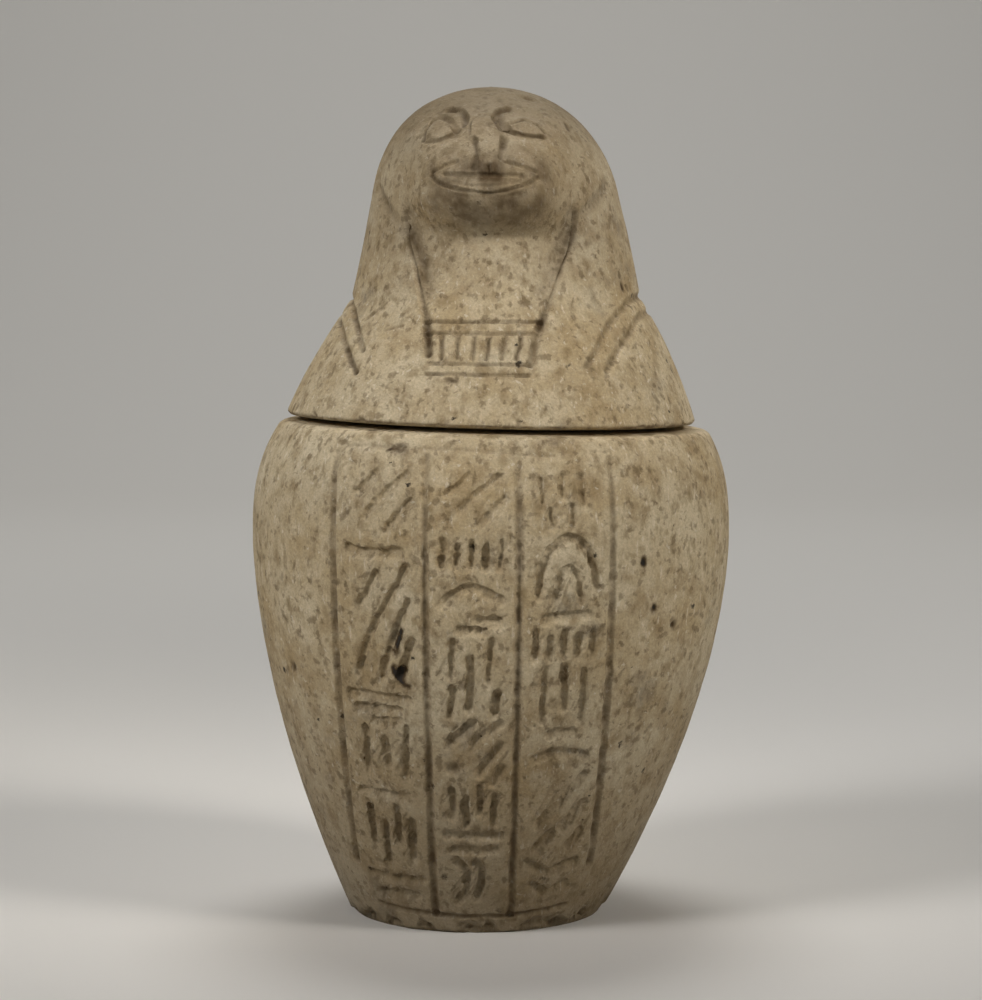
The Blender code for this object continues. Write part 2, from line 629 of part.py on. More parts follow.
def lid_cuts(skin):
    """The wig's lappets and hem, the collar with its pendants, and the lines of the face."""
    for edge, start in ((LEFT_LAPPET, 0.58), (RIGHT_LAPPET, 0.52)):
        levels = np.linspace(start, 1.82, 9)
        angles = np.degrees(np.interp(levels, LAPPET_LEVELS, edge))
        skin.cut(on_lid(angles, levels), LAPPET_WIDTH, LAPPET_DEPTH)

    back = list(range(100, 181, 20))
    right_hem = curve_through([(29, 0.49), (34.5, 0.62), (42, 0.785), (53, 0.92), (70, 1.01), (92, 1.03)], 2)
    right_band = curve_through([(36, 0.47), (43, 0.61), (53, 0.75), (66, 0.87), (92, 0.90)], 2)
    left_hem = curve_through([(-47, 0.60), (-52, 0.70), (-58.5, 0.81), (-70, 0.93), (-92, 1.03)], 2)
    left_band = curve_through([(-45.6, 0.42), (-52, 0.54), (-59.5, 0.655), (-70, 0.77), (-92, 0.90)], 2)
    for line, level in ((right_hem, 1.03), (left_hem, 1.03), (right_band, 0.90), (left_band, 0.90)):
        side = math.copysign(1.0, line[-1][0])
        behind = [(side * angle, level) for angle in back]
        path = np.vstack([line, behind])
        skin.cut(on_lid(path[:, 0], path[:, 1]), HEM_WIDTH, HEM_DEPTH)

    for level in (COLLAR_TOP, COLLAR_MIDDLE, COLLAR_FOOT - 0.045, BAR_FOOT):
        left = math.degrees(np.interp(level, LAPPET_LEVELS, LEFT_LAPPET))
        right = math.degrees(np.interp(level, LAPPET_LEVELS, RIGHT_LAPPET))
        angles = np.linspace(left, right, 6)
        skin.cut(on_lid(angles, np.full(6, level)), FINE_WIDTH, FINE_DEPTH)
    for k in range(1, COLLAR_PENDANTS):
        levels = np.array([COLLAR_MIDDLE - 0.02, COLLAR_FOOT])
        left = np.degrees(np.interp(levels, LAPPET_LEVELS, LEFT_LAPPET))
        right = np.degrees(np.interp(levels, LAPPET_LEVELS, RIGHT_LAPPET))
        angles = left + (right - left) * k / COLLAR_PENDANTS
        skin.cut(on_lid(angles, levels), FINE_WIDTH, RULE_DEPTH * 0.7)

    for line in MOUTH_LINES + NOSE_LINES + EYE_LINES + CHEEK_LINES:
        across, up = np.array(line).T
        skin.cut(on_face(across, up), FACE_WIDTH, FACE_DEPTH)


def make_jar(material):
    """The jar: its carved skin, then the rim, the mouth and the hollow, each a ring further in."""
    skin = Skin(jar_surface, lambda s: jar_radius(np.interp(s, JAR_LENGTHS, JAR_HEIGHTS)), JAR_LENGTHS)
    jar_cuts(skin)
    top = JAR_LENGTHS[-1]
    rows = np.linspace(BASE_EDGE, top - RIM_EDGE, JAR_ROWS)
    lengths = [0.0, *rows, top - RIM_EDGE * 0.3, top]
    panel = []
    for z in np.arange(PANEL_FOOT_MARGIN, RIM_Z - PANEL_STEP, PANEL_STEP):
        panel += [tuple(on_jar(share, z)) for share in np.linspace(0.0, 1.0, 17)]
    bm = bmesh.new()
    base, rim = skin.build(bm, [(s, JAR_SIDES) for s in lengths], panel)

    close(bm, base[0][::-1], (jar_axis(0.0), 0.0, 0.0))
    angles = rim[1]
    lip_z = RIM_Z - LIP_DEPTH
    loops = [rim[0], add_ring(bm, angles, SEAT_RADIUS, RIM_Z, 0.0)]
    loops.append(add_ring(bm, angles, MOUTH_RADIUS + PLUG_CHAMFER, RIM_Z, 0.0))
    loops.append(add_ring(bm, angles, MOUTH_RADIUS, RIM_Z - PLUG_CHAMFER, 0.0))
    loops.append(add_ring(bm, angles, MOUTH_RADIUS, lip_z, 0.0, 0.0))
    widest = BELLY_RADIUS - WALL
    for k in range(1, CAVITY_ROWS + 1):
        share = (1.0 - math.cos(math.pi * k / CAVITY_ROWS)) / 2
        z = lip_z - (lip_z - FLOOR) * share
        hug = jar_radius(z) - WALL
        under_lip = MOUTH_RADIUS + (widest - MOUTH_RADIUS) * math.sqrt(min(1.0, share * 2.6))
        corner = rounding(np.array(z - FLOOR), FLOOR_CORNER)
        radius = min(hug, under_lip) - float(corner)
        loops.append(add_ring(bm, angles, radius, z, float(jar_axis(z)), 0.0))
    for low, high in zip(loops, loops[1:]):
        bridge(bm, low, high)
    close(bm, loops[-1], (float(jar_axis(FLOOR)), 0.0, FLOOR))
    return finish("jar", bm, material)


def make_lid(material):
    """The lid: its carved skin closed at the crown, and below it the seat and the plug."""
    skin = Skin(lid_surface, lambda s: np.maximum(np.interp(s, LID_LENGTHS, LID_RADII), 0.004), LID_LENGTHS)
    top = LID_LENGTHS[-1]
    crown = np.interp(0.16 * TEMPLE_RADIUS, LID_RADII[::-1], LID_LENGTHS[::-1])
    skin.top = crown
    lid_cuts(skin)
    temple = np.interp(TEMPLE_Z, LID_HEIGHTS, LID_LENGTHS)
    rings = [(0.0, LID_SIDES), (LID_EDGE * 0.35, LID_SIDES), (LID_EDGE, LID_SIDES)]
    for s in np.linspace(LID_EDGE, crown, LID_ROWS + 1)[1:]:
        ease = max(0.0, (s - temple) / (top - temple))
        rings.append((s, round(LID_SIDES + (CROWN_SIDES - LID_SIDES) * ease**1.5)))
    rings[-1] = (crown, CROWN_SIDES)

    face = []
    reach = 0.92 * TEMPLE_RADIUS
    for up in np.arange(-0.80, 0.86, FACE_STEP / DOME_HEIGHT):
        width = reach if up > -0.34 else 0.6 * reach
        for x in np.arange(-width, width, FACE_STEP):
            if x * x / reach**2 + max(up, 0.0) ** 2 < 0.86:
                face.append(tuple(on_face(x / TEMPLE_RADIUS, up)))
    bm = bmesh.new()
    seat, tip = skin.build(bm, rings, face)
    close(bm, tip[0], (float(lid_axis(CROWN_Z)), 0.0, CROWN_Z))

    angles = seat[1]
    plug = MOUTH_RADIUS - PLUG_CLEARANCE
    loops = [seat[0], add_ring(bm, angles, SEAT_RADIUS, SEAT_Z, 0.0)]
    loops.append(add_ring(bm, angles, plug, SEAT_Z, 0.0))
    loops.append(add_ring(bm, angles, plug, SEAT_Z - PLUG_DEPTH + PLUG_CHAMFER, 0.0, 0.0))
    loops.append(add_ring(bm, angles, plug - PLUG_CHAMFER, SEAT_Z - PLUG_DEPTH, 0.0, 0.0))
    for low, high in zip(loops, loops[1:]):
        bridge(bm, high, low)
    close(bm, loops[-1][::-1], (0.0, 0.0, SEAT_Z - PLUG_DEPTH))
    return finish("lid", bm, material)


def main():
    for old in list(bpy.data.objects):
        bpy.data.objects.remove(old)
    make_jar(limestone("jar_limestone", (0.31, 0.23, 0.15)))
    make_lid(limestone("lid_limestone", (0.36, 0.28, 0.18)))


main()
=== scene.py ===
# %% [markdown]
# # A canopic jar
# This jar was carved from one block of fossil-flecked limestone, hollowed out, and closed with a second
# block carved as a baboon's head in a wig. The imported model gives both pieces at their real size. It is
# kept as the frame that everything here is measured against, and each piece below stands in for the plain
# solid of the same name.

# %% The frame
import math

import bmesh
import bpy
import numpy as np
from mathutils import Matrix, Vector


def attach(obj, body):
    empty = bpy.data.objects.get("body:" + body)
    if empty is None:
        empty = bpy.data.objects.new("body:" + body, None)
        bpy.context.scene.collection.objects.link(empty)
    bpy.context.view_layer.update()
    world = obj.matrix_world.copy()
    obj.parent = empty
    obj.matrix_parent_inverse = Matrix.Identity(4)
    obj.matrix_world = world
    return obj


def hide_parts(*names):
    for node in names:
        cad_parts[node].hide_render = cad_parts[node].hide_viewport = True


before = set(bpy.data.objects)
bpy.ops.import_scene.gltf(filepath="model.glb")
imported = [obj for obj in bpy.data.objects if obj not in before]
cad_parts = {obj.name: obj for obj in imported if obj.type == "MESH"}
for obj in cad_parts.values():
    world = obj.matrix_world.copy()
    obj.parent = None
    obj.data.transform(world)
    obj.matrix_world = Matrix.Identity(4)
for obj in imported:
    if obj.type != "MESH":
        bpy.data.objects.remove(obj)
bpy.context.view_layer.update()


def add_object(name, data):
    """Puts a new object with this data into the scene."""
    made = bpy.data.objects.new(name, data)
    bpy.context.scene.collection.objects.link(made)
    return made


# %% [markdown]
# ## The camera
# The photograph was taken from a little above the middle of the jar, about a metre away, with a long lens.
# The height of the horizon follows from how far the foot's and the joint's ellipses are open. The lens then
# follows from the size of the jar in the frame. The camera is turned down a little rather than shifted.

# %% Camera at the photograph's angle
CAMERA_PLACE = Vector((0.0, -1.031, 0.2350))
CAMERA_AIM = Vector((0.0, 0.0, 0.1506))
LENS_MM = 101.4

camera_data = bpy.data.cameras.new("camera")
camera_data.lens = LENS_MM
camera_data.sensor_width = 36.0
camera_data.clip_start = 0.05
camera = add_object("camera", camera_data)
camera.location = CAMERA_PLACE
camera.rotation_euler = (CAMERA_AIM - CAMERA_PLACE).to_track_quat("-Z", "Y").to_euler()
bpy.context.scene.camera = camera
print("camera looks down by", round(-math.degrees(camera.rotation_euler.x) + 90, 2), "degrees")

# %% [markdown]
# ## The jar's form
# A jar like this was cut by eye to a turned profile, so a rule gives its shape: a long flank below the
# belly and a short shoulder above it. The foot stands a little left of the belly, and the joint with the
# lid slopes a little down to the right. A point on the jar is named by its angle from the front and its
# length up the profile.

# %% The jar's sizes and profile
BELLY_HEIGHT = 0.1381
SHOULDER_HEIGHT = 0.0415
BASE_RADIUS = 0.0470
BELLY_RADIUS = 0.0875
RIM_RADIUS = 0.0774
FLANK_CURVE = 1.70
SHOULDER_CURVE = 2.7
FOOT_SHIFT = -0.0051
BASE_EDGE = 0.0016
RIM_EDGE = 0.0022
RIM_FALL = 0.0007
JOINT_SLOPE = 0.026
RIM_Z = BELLY_HEIGHT + SHOULDER_HEIGHT
SAMPLES = 400


def smooth(share):
    """0 below 0, 1 above 1, and an even ease between."""
    share = np.clip(share, 0.0, 1.0)
    return share * share * (3.0 - 2.0 * share)


def rounding(depth, radius):
    """How far a quarter-round edge has drawn in at this depth below the end of the form."""
    lost = np.clip(1.0 - depth / radius, 0.0, 1.0)
    return radius * (1.0 - np.sqrt(1.0 - lost * lost))


def lengths_along(radius, height):
    """Length up a profile at each of its points."""
    return np.concatenate([[0.0], np.cumsum(np.hypot(np.diff(radius), np.diff(height)))])


def jar_radius(z):
    """The jar's radius at a height: the belly, less the flank's or the shoulder's curve."""
    below = np.clip((BELLY_HEIGHT - z) / BELLY_HEIGHT, 0.0, None)
    above = np.clip((z - BELLY_HEIGHT) / SHOULDER_HEIGHT, 0.0, None)
    flank = (BELLY_RADIUS - BASE_RADIUS) * below**FLANK_CURVE
    shoulder = (BELLY_RADIUS - RIM_RADIUS) * above**SHOULDER_CURVE
    return BELLY_RADIUS - flank - shoulder


def jar_axis(z):
    """How far to the right the middle of the jar lies at a height."""
    return FOOT_SHIFT * np.clip((BELLY_HEIGHT - z) / BELLY_HEIGHT, 0.0, None) ** FLANK_CURVE


JAR_HEIGHTS = np.linspace(0.0, RIM_Z - RIM_FALL, SAMPLES)
JAR_LENGTHS = lengths_along(jar_radius(JAR_HEIGHTS), JAR_HEIGHTS)


def jar_surface(angle, length):
    """Points of the uncarved jar for an angle from the front and a length up."""
    z = np.interp(length, JAR_LENGTHS, JAR_HEIGHTS)
    z = z - JOINT_SLOPE * jar_radius(z) * np.sin(angle) * smooth((z - BELLY_HEIGHT) / SHOULDER_HEIGHT)
    radius = jar_radius(z) - rounding(length, BASE_EDGE)
    radius = radius - rounding(JAR_LENGTHS[-1] - length, RIM_EDGE)
    return np.stack([jar_axis(z) + radius * np.sin(angle), -radius * np.cos(angle), z], axis=-1)


print("profile length of the jar:", round(1000 * JAR_LENGTHS[-1], 1), "mm")

# %% [markdown]
# ## The lid's form
# The lid flares at the shoulders, runs up the straight side of the wig, and ends in a dome. The face stands
# forward of that dome as a few soft mounds: cheeks, muzzle, nose, lower lip and two eyeballs in their
# sockets. Their sizes are shares of the head's radius and height, as a carver would lay out a face on a
# drawn grid.

# %% The lid's sizes and profile
JOINT_GAP = 0.0003
LID_RISE = 0.0011
FLARE_HEIGHT = 0.0445
WIG_HEIGHT = 0.0367
DOME_HEIGHT = 0.0400
LID_RADIUS = 0.0751
HEM_RADIUS = 0.0530
TEMPLE_RADIUS = 0.0452
DOME_LEAN = 0.14
FLARE_BULGE = 0.28
LID_EDGE = 0.0016
HEAD_SHIFT = 0.0020
HEAD_SHIFT_END = 2.8
HEM_EASE = 0.0150
HEM_EASE_FRONT = (0.45, 0.40)
FACE_EASE = 0.35
SEAT_Z = RIM_Z + JOINT_GAP
HEM_Z = SEAT_Z + FLARE_HEIGHT
TEMPLE_Z = HEM_Z + WIG_HEIGHT
CROWN_Z = TEMPLE_Z + DOME_HEIGHT


def lid_outline():
    """Radius and height up the lid: a flared shoulder, the wig's straight side, then a dome."""
    flare = np.linspace(1.0, 0.0, SAMPLES // 4, endpoint=False)
    side = np.linspace(0.0, 1.0, SAMPLES // 4, endpoint=False)
    dome = np.linspace(0.0, math.pi / 2, SAMPLES // 2)
    spread_out = flare * (1.0 + FLARE_BULGE - FLARE_BULGE * flare)
    lean = 1.0 - DOME_LEAN * np.sin(dome) * (1.0 - np.sin(dome))
    radii = [
        HEM_RADIUS + (LID_RADIUS - HEM_RADIUS) * spread_out,
        HEM_RADIUS + (TEMPLE_RADIUS - HEM_RADIUS) * side,
        TEMPLE_RADIUS * np.cos(dome) * lean,
    ]
    heights = [
        HEM_Z - (FLARE_HEIGHT - LID_RISE) * flare,
        HEM_Z + WIG_HEIGHT * side,
        TEMPLE_Z + DOME_HEIGHT * np.sin(dome),
    ]
    return np.concatenate(radii), np.concatenate(heights)


LID_RADII, LID_HEIGHTS = lid_outline()
LID_LENGTHS = lengths_along(LID_RADII, LID_HEIGHTS)
HEM_LENGTH = np.interp(HEM_Z, LID_HEIGHTS, LID_LENGTHS)


def lid_level(z):
    """Storeys up the lid: 0 at the joint, 1 at the wig's hem, 2 at the temples, 3 at the crown."""
    return np.interp(z, [SEAT_Z, HEM_Z, TEMPLE_Z, CROWN_Z], [0.0, 1.0, 2.0, 3.0])


def level_height(level):
    """The height of a storey."""
    return np.interp(level, [0.0, 1.0, 2.0, 3.0], [SEAT_Z, HEM_Z, TEMPLE_Z, CROWN_Z])


def lid_axis(z):
    """How far to the right the middle of the lid lies at a height, most at half height."""
    return HEAD_SHIFT * np.sin(np.clip(lid_level(z) / HEAD_SHIFT_END, 0.0, 1.0) * math.pi)


print("profile length of the lid:", round(1000 * LID_LENGTHS[-1], 1), "mm")

# %% The face's mounds
CHEEK_REACH = 0.0042
MUZZLE_REACH = 0.0064
NOSE_REACH = 0.0016
LIP_REACH = 0.0007
EYE_RISE = 0.0006
SOCKET_SINK = 0.0016
CHEST_SINK = 0.0028
# Mounds as a middle and half sizes, across and up, in shares of the head's radius and the dome's height
CHEEKS_MIDDLE = (0.0, 0.12)
CHEEKS_BELOW, CHEEKS_ABOVE = (0.95, 0.51), (0.95, 0.82)
NOSE_RIDGE = ((-0.045, 0.42), (0.14, 0.28))
NOSE_KNOB = ((-0.050, 0.585), (0.18, 0.17))
LOWER_LIP = ((-0.06, 0.045), (0.36, 0.078))
MUZZLE_MIDDLE, MUZZLE_HALF = -0.06, 0.68
MUZZLE_LEVELS = [-0.50, -0.39, -0.22, -0.06, 0.10, 0.24, 0.48, 0.78, 0.95]
MUZZLE_SHARES = [0.0, 0.0, 0.48, 0.93, 1.0, 0.93, 0.52, 0.0, 0.0]
# Each eyeball: middle across and up, half its length and width, slope in degrees
EYES = [(-0.41, 0.575, 0.165, 0.118, 22.0), (0.27, 0.585, 0.185, 0.108, -14.0)]
# The chest: how far in from a lappet it is deepest and has risen half again, in radians, then its foot
# and its top in storeys
CHEST_EDGES = (0.06, 0.45)
CHEST_FOOT, CHEST_FOOT_EASE = 0.80, 0.45
CHEST_TOP, CHEST_TOP_EASE = 2.0, 0.25
# The lappets' inner edges, in radians from the front at each of these storeys
LAPPET_LEVELS = [0.45, 0.58, 0.78, 1.0, 1.25, 1.55, 1.85, 2.1]
LEFT_LAPPET = np.radians([-20.5, -21.1, -23.6, -28.2, -32.5, -38.4, -43.9, -48.5])
RIGHT_LAPPET = np.radians([10.5, 11.6, 14.9, 19.8, 24.8, 32.0, 37.4, 43.0])


def flowing(at, places, values):
    """A smooth curve through a few given values."""
    places, values = np.array(places, float), np.array(values, float)
    slopes = np.gradient(values, places)
    at = np.clip(at, places[0], places[-1])
    k = np.clip(np.searchsorted(places, at) - 1, 0, len(places) - 2)
    step, rise = (places[1:] - places[:-1])[k], (values[1:] - values[:-1])[k]
    leave, arrive = slopes[k] * step, slopes[k + 1] * step
    t = (at - places[k]) / step
    return values[k] + t * (leave + t * (3 * rise - 2 * leave - arrive + t * (leave + arrive - 2 * rise)))


def hump(across, up, centre, half, slope=0.0, power=2.0):
    """A soft oval mound: 1 in the middle, falling to 0 at its edge."""
    turn = math.radians(slope)
    along = ((across - centre[0]) * math.cos(turn) + (up - centre[1]) * math.sin(turn)) / half[0]
    over = ((up - centre[1]) * math.cos(turn) - (across - centre[0]) * math.sin(turn)) / half[1]
    return smooth(1.25 * (1.0 - np.abs(along) ** power - np.abs(over) ** power))


def face_relief(x, z):
    """How far the face stands forward of the dome, seen from the front."""
    across = x / TEMPLE_RADIUS
    up = (z - TEMPLE_Z) / DOME_HEIGHT
    below = hump(across, up, CHEEKS_MIDDLE, CHEEKS_BELOW, power=2.5)
    above = hump(across, up, CHEEKS_MIDDLE, CHEEKS_ABOVE, power=2.5)
    cheeks = np.where(up < CHEEKS_MIDDLE[1], below, above)
    side = smooth(1.3 * (1.0 - np.abs((across - MUZZLE_MIDDLE) / MUZZLE_HALF) ** 2.2))
    muzzle = flowing(up, MUZZLE_LEVELS, MUZZLE_SHARES) * side
    nose = np.maximum(hump(across, up, *NOSE_RIDGE, power=2.6), 0.9 * hump(across, up, *NOSE_KNOB, power=2.6))
    lip = hump(across, up, *LOWER_LIP)
    relief = CHEEK_REACH * cheeks + MUZZLE_REACH * muzzle + NOSE_REACH * nose + LIP_REACH * lip
    for middle, height, half_long, half_wide, slope in EYES:
        ball = hump(across, up, (middle, height), (half_long, half_wide), slope)
        inner = middle - math.copysign(0.025, middle)
        socket = hump(across, up, (inner, height + 0.035), (half_long * 1.45, half_wide * 1.6), slope)
        relief = relief + (EYE_RISE + SOCKET_SINK) * ball - SOCKET_SINK * socket
    return relief


def chest_relief(angle, z):
    """The chest lies deeper than the two lappets of the wig, down to the collar."""
    level = lid_level(z)
    left = flowing(level, LAPPET_LEVELS, LEFT_LAPPET)
    right = flowing(level, LAPPET_LEVELS, RIGHT_LAPPET)
    inward = np.minimum(angle - left, right - angle)
    sunk = smooth(inward / CHEST_EDGES[0]) * (1.0 - 0.5 * smooth(inward / CHEST_EDGES[1]))
    foot = smooth((level - CHEST_FOOT) / CHEST_FOOT_EASE)
    return -CHEST_SINK * sunk * foot * smooth((CHEST_TOP - level) / CHEST_TOP_EASE)


def lid_radius(angle, length):
    """The lid's radius, with the corner at the wig's hem eased away across the front."""
    sharp = np.interp(length, LID_LENGTHS, LID_RADII)
    shifts = np.linspace(-HEM_EASE, HEM_EASE, 7)
    around = [np.interp(length + shift, LID_LENGTHS, LID_RADII) for shift in shifts]
    near = np.exp(-(((length - HEM_LENGTH) / HEM_EASE) ** 2))
    near = near * smooth((np.cos(angle) - HEM_EASE_FRONT[0]) / HEM_EASE_FRONT[1])
    return sharp + near * (np.mean(around, axis=0) - sharp)


def lid_surface(angle, length):
    """Points of the lid with its face and chest, but without its cut lines."""
    radius = lid_radius(angle, length) - rounding(length, LID_EDGE)
    z = np.interp(length, LID_LENGTHS, LID_HEIGHTS)
    x = lid_axis(z) + radius * np.sin(angle)
    front = smooth(np.cos(angle) / FACE_EASE)
    y = -radius * np.cos(angle) - front * (face_relief(x - lid_axis(z), z) + chest_relief(angle, z))
    z = z - JOINT_SLOPE * radius * np.sin(angle) * smooth((HEM_Z - z) / FLARE_HEIGHT)
    return np.stack([x, y, z], axis=-1)


print("the muzzle stands", round(1000 * (CHEEK_REACH + MUZZLE_REACH), 1), "mm forward of the dome")

# %% [markdown]
# ## From rings to a mesh
# Both pieces are closed tubes of rings: up the outside, then in over the rim and down the hollow for the
# jar, and from the plug up to the crown for the lid. The rings are close together where the carving is and
# wide apart at the plain back. Each corner also keeps two things for the carving: where it lay before any
# cut, and how deep the cuts may go there, which is nothing inside the jar and less near its handled rim.

# %% Rings and tubes
def spread(stops):
    """Places from the first stop to the last, each stretch with its own spacing."""
    made = []
    for (start, step), (end, _) in zip(stops, stops[1:]):
        made += list(np.linspace(start, end, max(1, round((end - start) / step)), endpoint=False))
    return np.array([*made, stops[-1][0]])


def plane_ring(angles, radius, height, axis=0.0, slope=JOINT_SLOPE):
    """A plain round ring, which slopes as the joint does."""
    x, y = radius * np.sin(angles), -radius * np.cos(angles)
    return np.stack([axis + x, y, height - slope * x], axis=-1)


def tube(name, rings, outside, ends):
    """A closed mesh from a list of rings and its two end points."""
    count, sides = len(rings), len(rings[0])
    index = np.arange(count * sides).reshape(count, sides)
    low, high = index[:-1], index[1:]
    quads = np.stack([low, np.roll(low, -1, 1), np.roll(high, -1, 1), high], axis=-1).reshape(-1, 4)
    first, last = index[0], index[-1]
    fans = [(int(b), int(a), count * sides) for a, b in zip(first, np.roll(first, -1))]
    fans += [(int(a), int(b), count * sides + 1) for a, b in zip(last, np.roll(last, -1))]
    mesh = bpy.data.meshes.new(name)
    mesh.from_pydata(np.vstack([*rings, *np.array(ends)[:, None]]), [], quads.tolist() + fans)
    worn = np.append(np.repeat(outside, sides), [0.0, 0.0]).astype(np.float32)
    mesh.attributes.new("worn", "FLOAT", "POINT").data.foreach_set("value", worn)
    for extra in ("dirt", "pit"):
        mesh.attributes.new(extra, "FLOAT", "POINT")
    rest = mesh.attributes.new("rest", "FLOAT_VECTOR", "POINT")
    rest.data.foreach_set("vector", np.vstack([*rings, ends]).astype(np.float32).ravel())
    bm = bmesh.new()
    bm.from_mesh(mesh)
    bmesh.ops.recalc_face_normals(bm, faces=bm.faces)
    bm.to_mesh(mesh)
    bm.free()
    mesh.shade_smooth()
    print(name, "has", len(mesh.polygons), "faces before it is carved")
    return add_object(name, mesh)


# %% The uncarved jar
MOUTH_RADIUS = 0.0500
LIP_DEPTH = 0.0170
WALL = 0.0170
FLOOR = 0.0220
FLOOR_CORNER = 0.0120
SEAT_RADIUS = 0.0610
MOUTH_EDGE = 0.0015
HOLLOW_ROWS = 16
HOLLOW_WIDENING = 2.6

# Columns as angles from the front and rows as lengths up, each with the spacing from there on
jar_angles = spread([(-math.pi, 0.060), (-1.20, 0.0050), (1.16, 0.060), (math.pi, 0.0)])[:-1]
jar_lengths = spread(
    [(0.0, 0.0003), (BASE_EDGE, 0.00052), (JAR_LENGTHS[-1] - RIM_EDGE, 0.0003), (JAR_LENGTHS[-1], 0.0)]
)
jar_rings = [jar_surface(jar_angles, np.full_like(jar_angles, s)) for s in jar_lengths]
# The top of the jar was handled most, so its cuts are rubbed down to this share of their depth
RUBBED_TOP = 0.62
RUBBED_LENGTHS = [0.145, 0.172]
outside = np.interp(jar_lengths, RUBBED_LENGTHS, [1.0, RUBBED_TOP]).tolist()
outside[0] = 0.0
lip_z = RIM_Z - LIP_DEPTH
lip = [(SEAT_RADIUS, RIM_Z), (MOUTH_RADIUS + MOUTH_EDGE, RIM_Z), (MOUTH_RADIUS, RIM_Z - MOUTH_EDGE)]
jar_rings += [plane_ring(jar_angles, radius, z) for radius, z in lip]
jar_rings.append(plane_ring(jar_angles, MOUTH_RADIUS, lip_z, slope=0.0))
widest = BELLY_RADIUS - WALL
for k in range(1, HOLLOW_ROWS + 1):
    share = (1.0 - math.cos(math.pi * k / HOLLOW_ROWS)) / 2
    z = lip_z - (lip_z - FLOOR) * share
    under_lip = MOUTH_RADIUS + (widest - MOUTH_RADIUS) * math.sqrt(min(1.0, share * HOLLOW_WIDENING))
    radius = min(jar_radius(z) - WALL, under_lip) - float(rounding(np.array(z - FLOOR), FLOOR_CORNER))
    jar_rings.append(plane_ring(jar_angles, radius, z, float(jar_axis(z)), 0.0))
outside += [0.0] * (len(jar_rings) - len(outside))
ends = [(jar_axis(0.0), 0.0, 0.0), (float(jar_axis(FLOOR)), 0.0, FLOOR)]
jar_blank = tube("jar_blank", jar_rings, outside, ends)

# %% The uncarved lid
PLUG_DEPTH = 0.0120
PLUG_CLEARANCE = 0.0010
PLUG_CHAMFER = 0.0015
CROWN_CAP = 0.0012

lid_angles = spread([(-math.pi, 0.055), (-1.35, 0.0085), (1.35, 0.055), (math.pi, 0.0)])[:-1]
crown = LID_LENGTHS[-1] - CROWN_CAP
lid_lengths = spread([(0.0, 0.0003), (LID_EDGE, 0.00045), (LID_LENGTHS[-1] - 0.030, 0.0007), (crown, 0.0)])
plug = MOUTH_RADIUS - PLUG_CLEARANCE
lid_rings = [
    plane_ring(lid_angles, plug - PLUG_CHAMFER, SEAT_Z - PLUG_DEPTH, slope=0.0),
    plane_ring(lid_angles, plug, SEAT_Z - PLUG_DEPTH + PLUG_CHAMFER, slope=0.0),
    plane_ring(lid_angles, plug, SEAT_Z),
    plane_ring(lid_angles, SEAT_RADIUS, SEAT_Z),
]
outside = [0.0] * (len(lid_rings) + 1)
lid_rings += [lid_surface(lid_angles, np.full_like(lid_angles, s)) for s in lid_lengths]
outside += [1.0] * (len(lid_rings) - len(outside))
ends = [(0.0, 0.0, SEAT_Z - PLUG_DEPTH), (float(lid_axis(CROWN_Z)), 0.0, CROWN_Z)]
lid_blank = tube("lid_blank", lid_rings, outside, ends)

# %% [markdown]
# ## Where the chisel went
# A groove is drawn as a line on the form: the panel's rules, the wig's lappets and hem, the collar and the
# lines of the face. The inscription is rows of plain strokes that spell nothing, each group laid out in a
# cell of one by one. Each family of lines becomes an object of bare edges that lies on the stone, for the
# carving tree below to follow.

# %% Lines on the form
def lines_object(name, paths, surface):
    """An object of bare edges from paths of (angle, length), lifted on to the form."""
    corners, edges = [], []
    for path in paths:
        path, steps = np.array(path, float), np.linspace(0.2, 1.0, 5)[:, None]
        fine = np.vstack([path[:1], *[a + (b - a) * steps for a, b in zip(path, path[1:])]])
        edges += [(len(corners) + k, len(corners) + k + 1) for k in range(len(fine) - 1)]
        corners += surface(fine[:, 0], fine[:, 1]).tolist()
    mesh = bpy.data.meshes.new(name)
    mesh.from_pydata(corners, edges, [])
    guides.append(add_object(name, mesh))
    return guides[-1]


guides = []


def curve_through(points, steps=4):
    """A smooth line through a few points, as Catmull-Rom arcs of so many steps each."""
    given = np.array(points, float)
    padded = np.vstack([2 * given[0] - given[1], given, 2 * given[-1] - given[-2]])
    made = [given[0]]
    for a, b, c, d in zip(padded, padded[1:], padded[2:], padded[3:]):
        for k in range(1, steps + 1):
            t = k / steps
            ease = (2 * a - 5 * b + 4 * c - d) * t * t + (3 * b - a - 3 * c + d) * t**3
            made.append(0.5 * (2 * b + (c - a) * t + ease))
    return np.array(made)


def drawn_line(row, unit):
    """A line from a row of places across and up in parts of one, curved if there are three or more."""
    line = np.array(row.split(), float).reshape(-1, 2) / unit
    return curve_through(line) if len(line) > 2 else line


# %% The panel's rules
PANEL_CENTRE = -0.0064
PANEL_WIDTH = 0.0963
PANEL_CURVE = 0.36
PANEL_COLUMNS = 3
PANEL_TOP_MARGIN = 0.0056
PANEL_FOOT_MARGIN = 0.0066
PANEL_FOOT_LIFT = 0.0030
SIDE_RULE_STOP = 0.0180
RULE_WIDTH = 0.0027


def panel_x(share, z):
    """Across the panel, from 0 at its left rule to 1 at its right rule. It narrows with the jar."""
    return PANEL_CENTRE + (share - 0.5) * PANEL_WIDTH * (jar_radius(z) / BELLY_RADIUS) ** PANEL_CURVE


def on_jar(share, z):
    """Angle and length on the jar of a place in the panel."""
    offset = np.clip((panel_x(share, z) - jar_axis(z)) / jar_radius(z), -0.95, 0.95)
    return np.stack([np.arcsin(offset), np.interp(z, JAR_HEIGHTS, JAR_LENGTHS)], axis=-1)


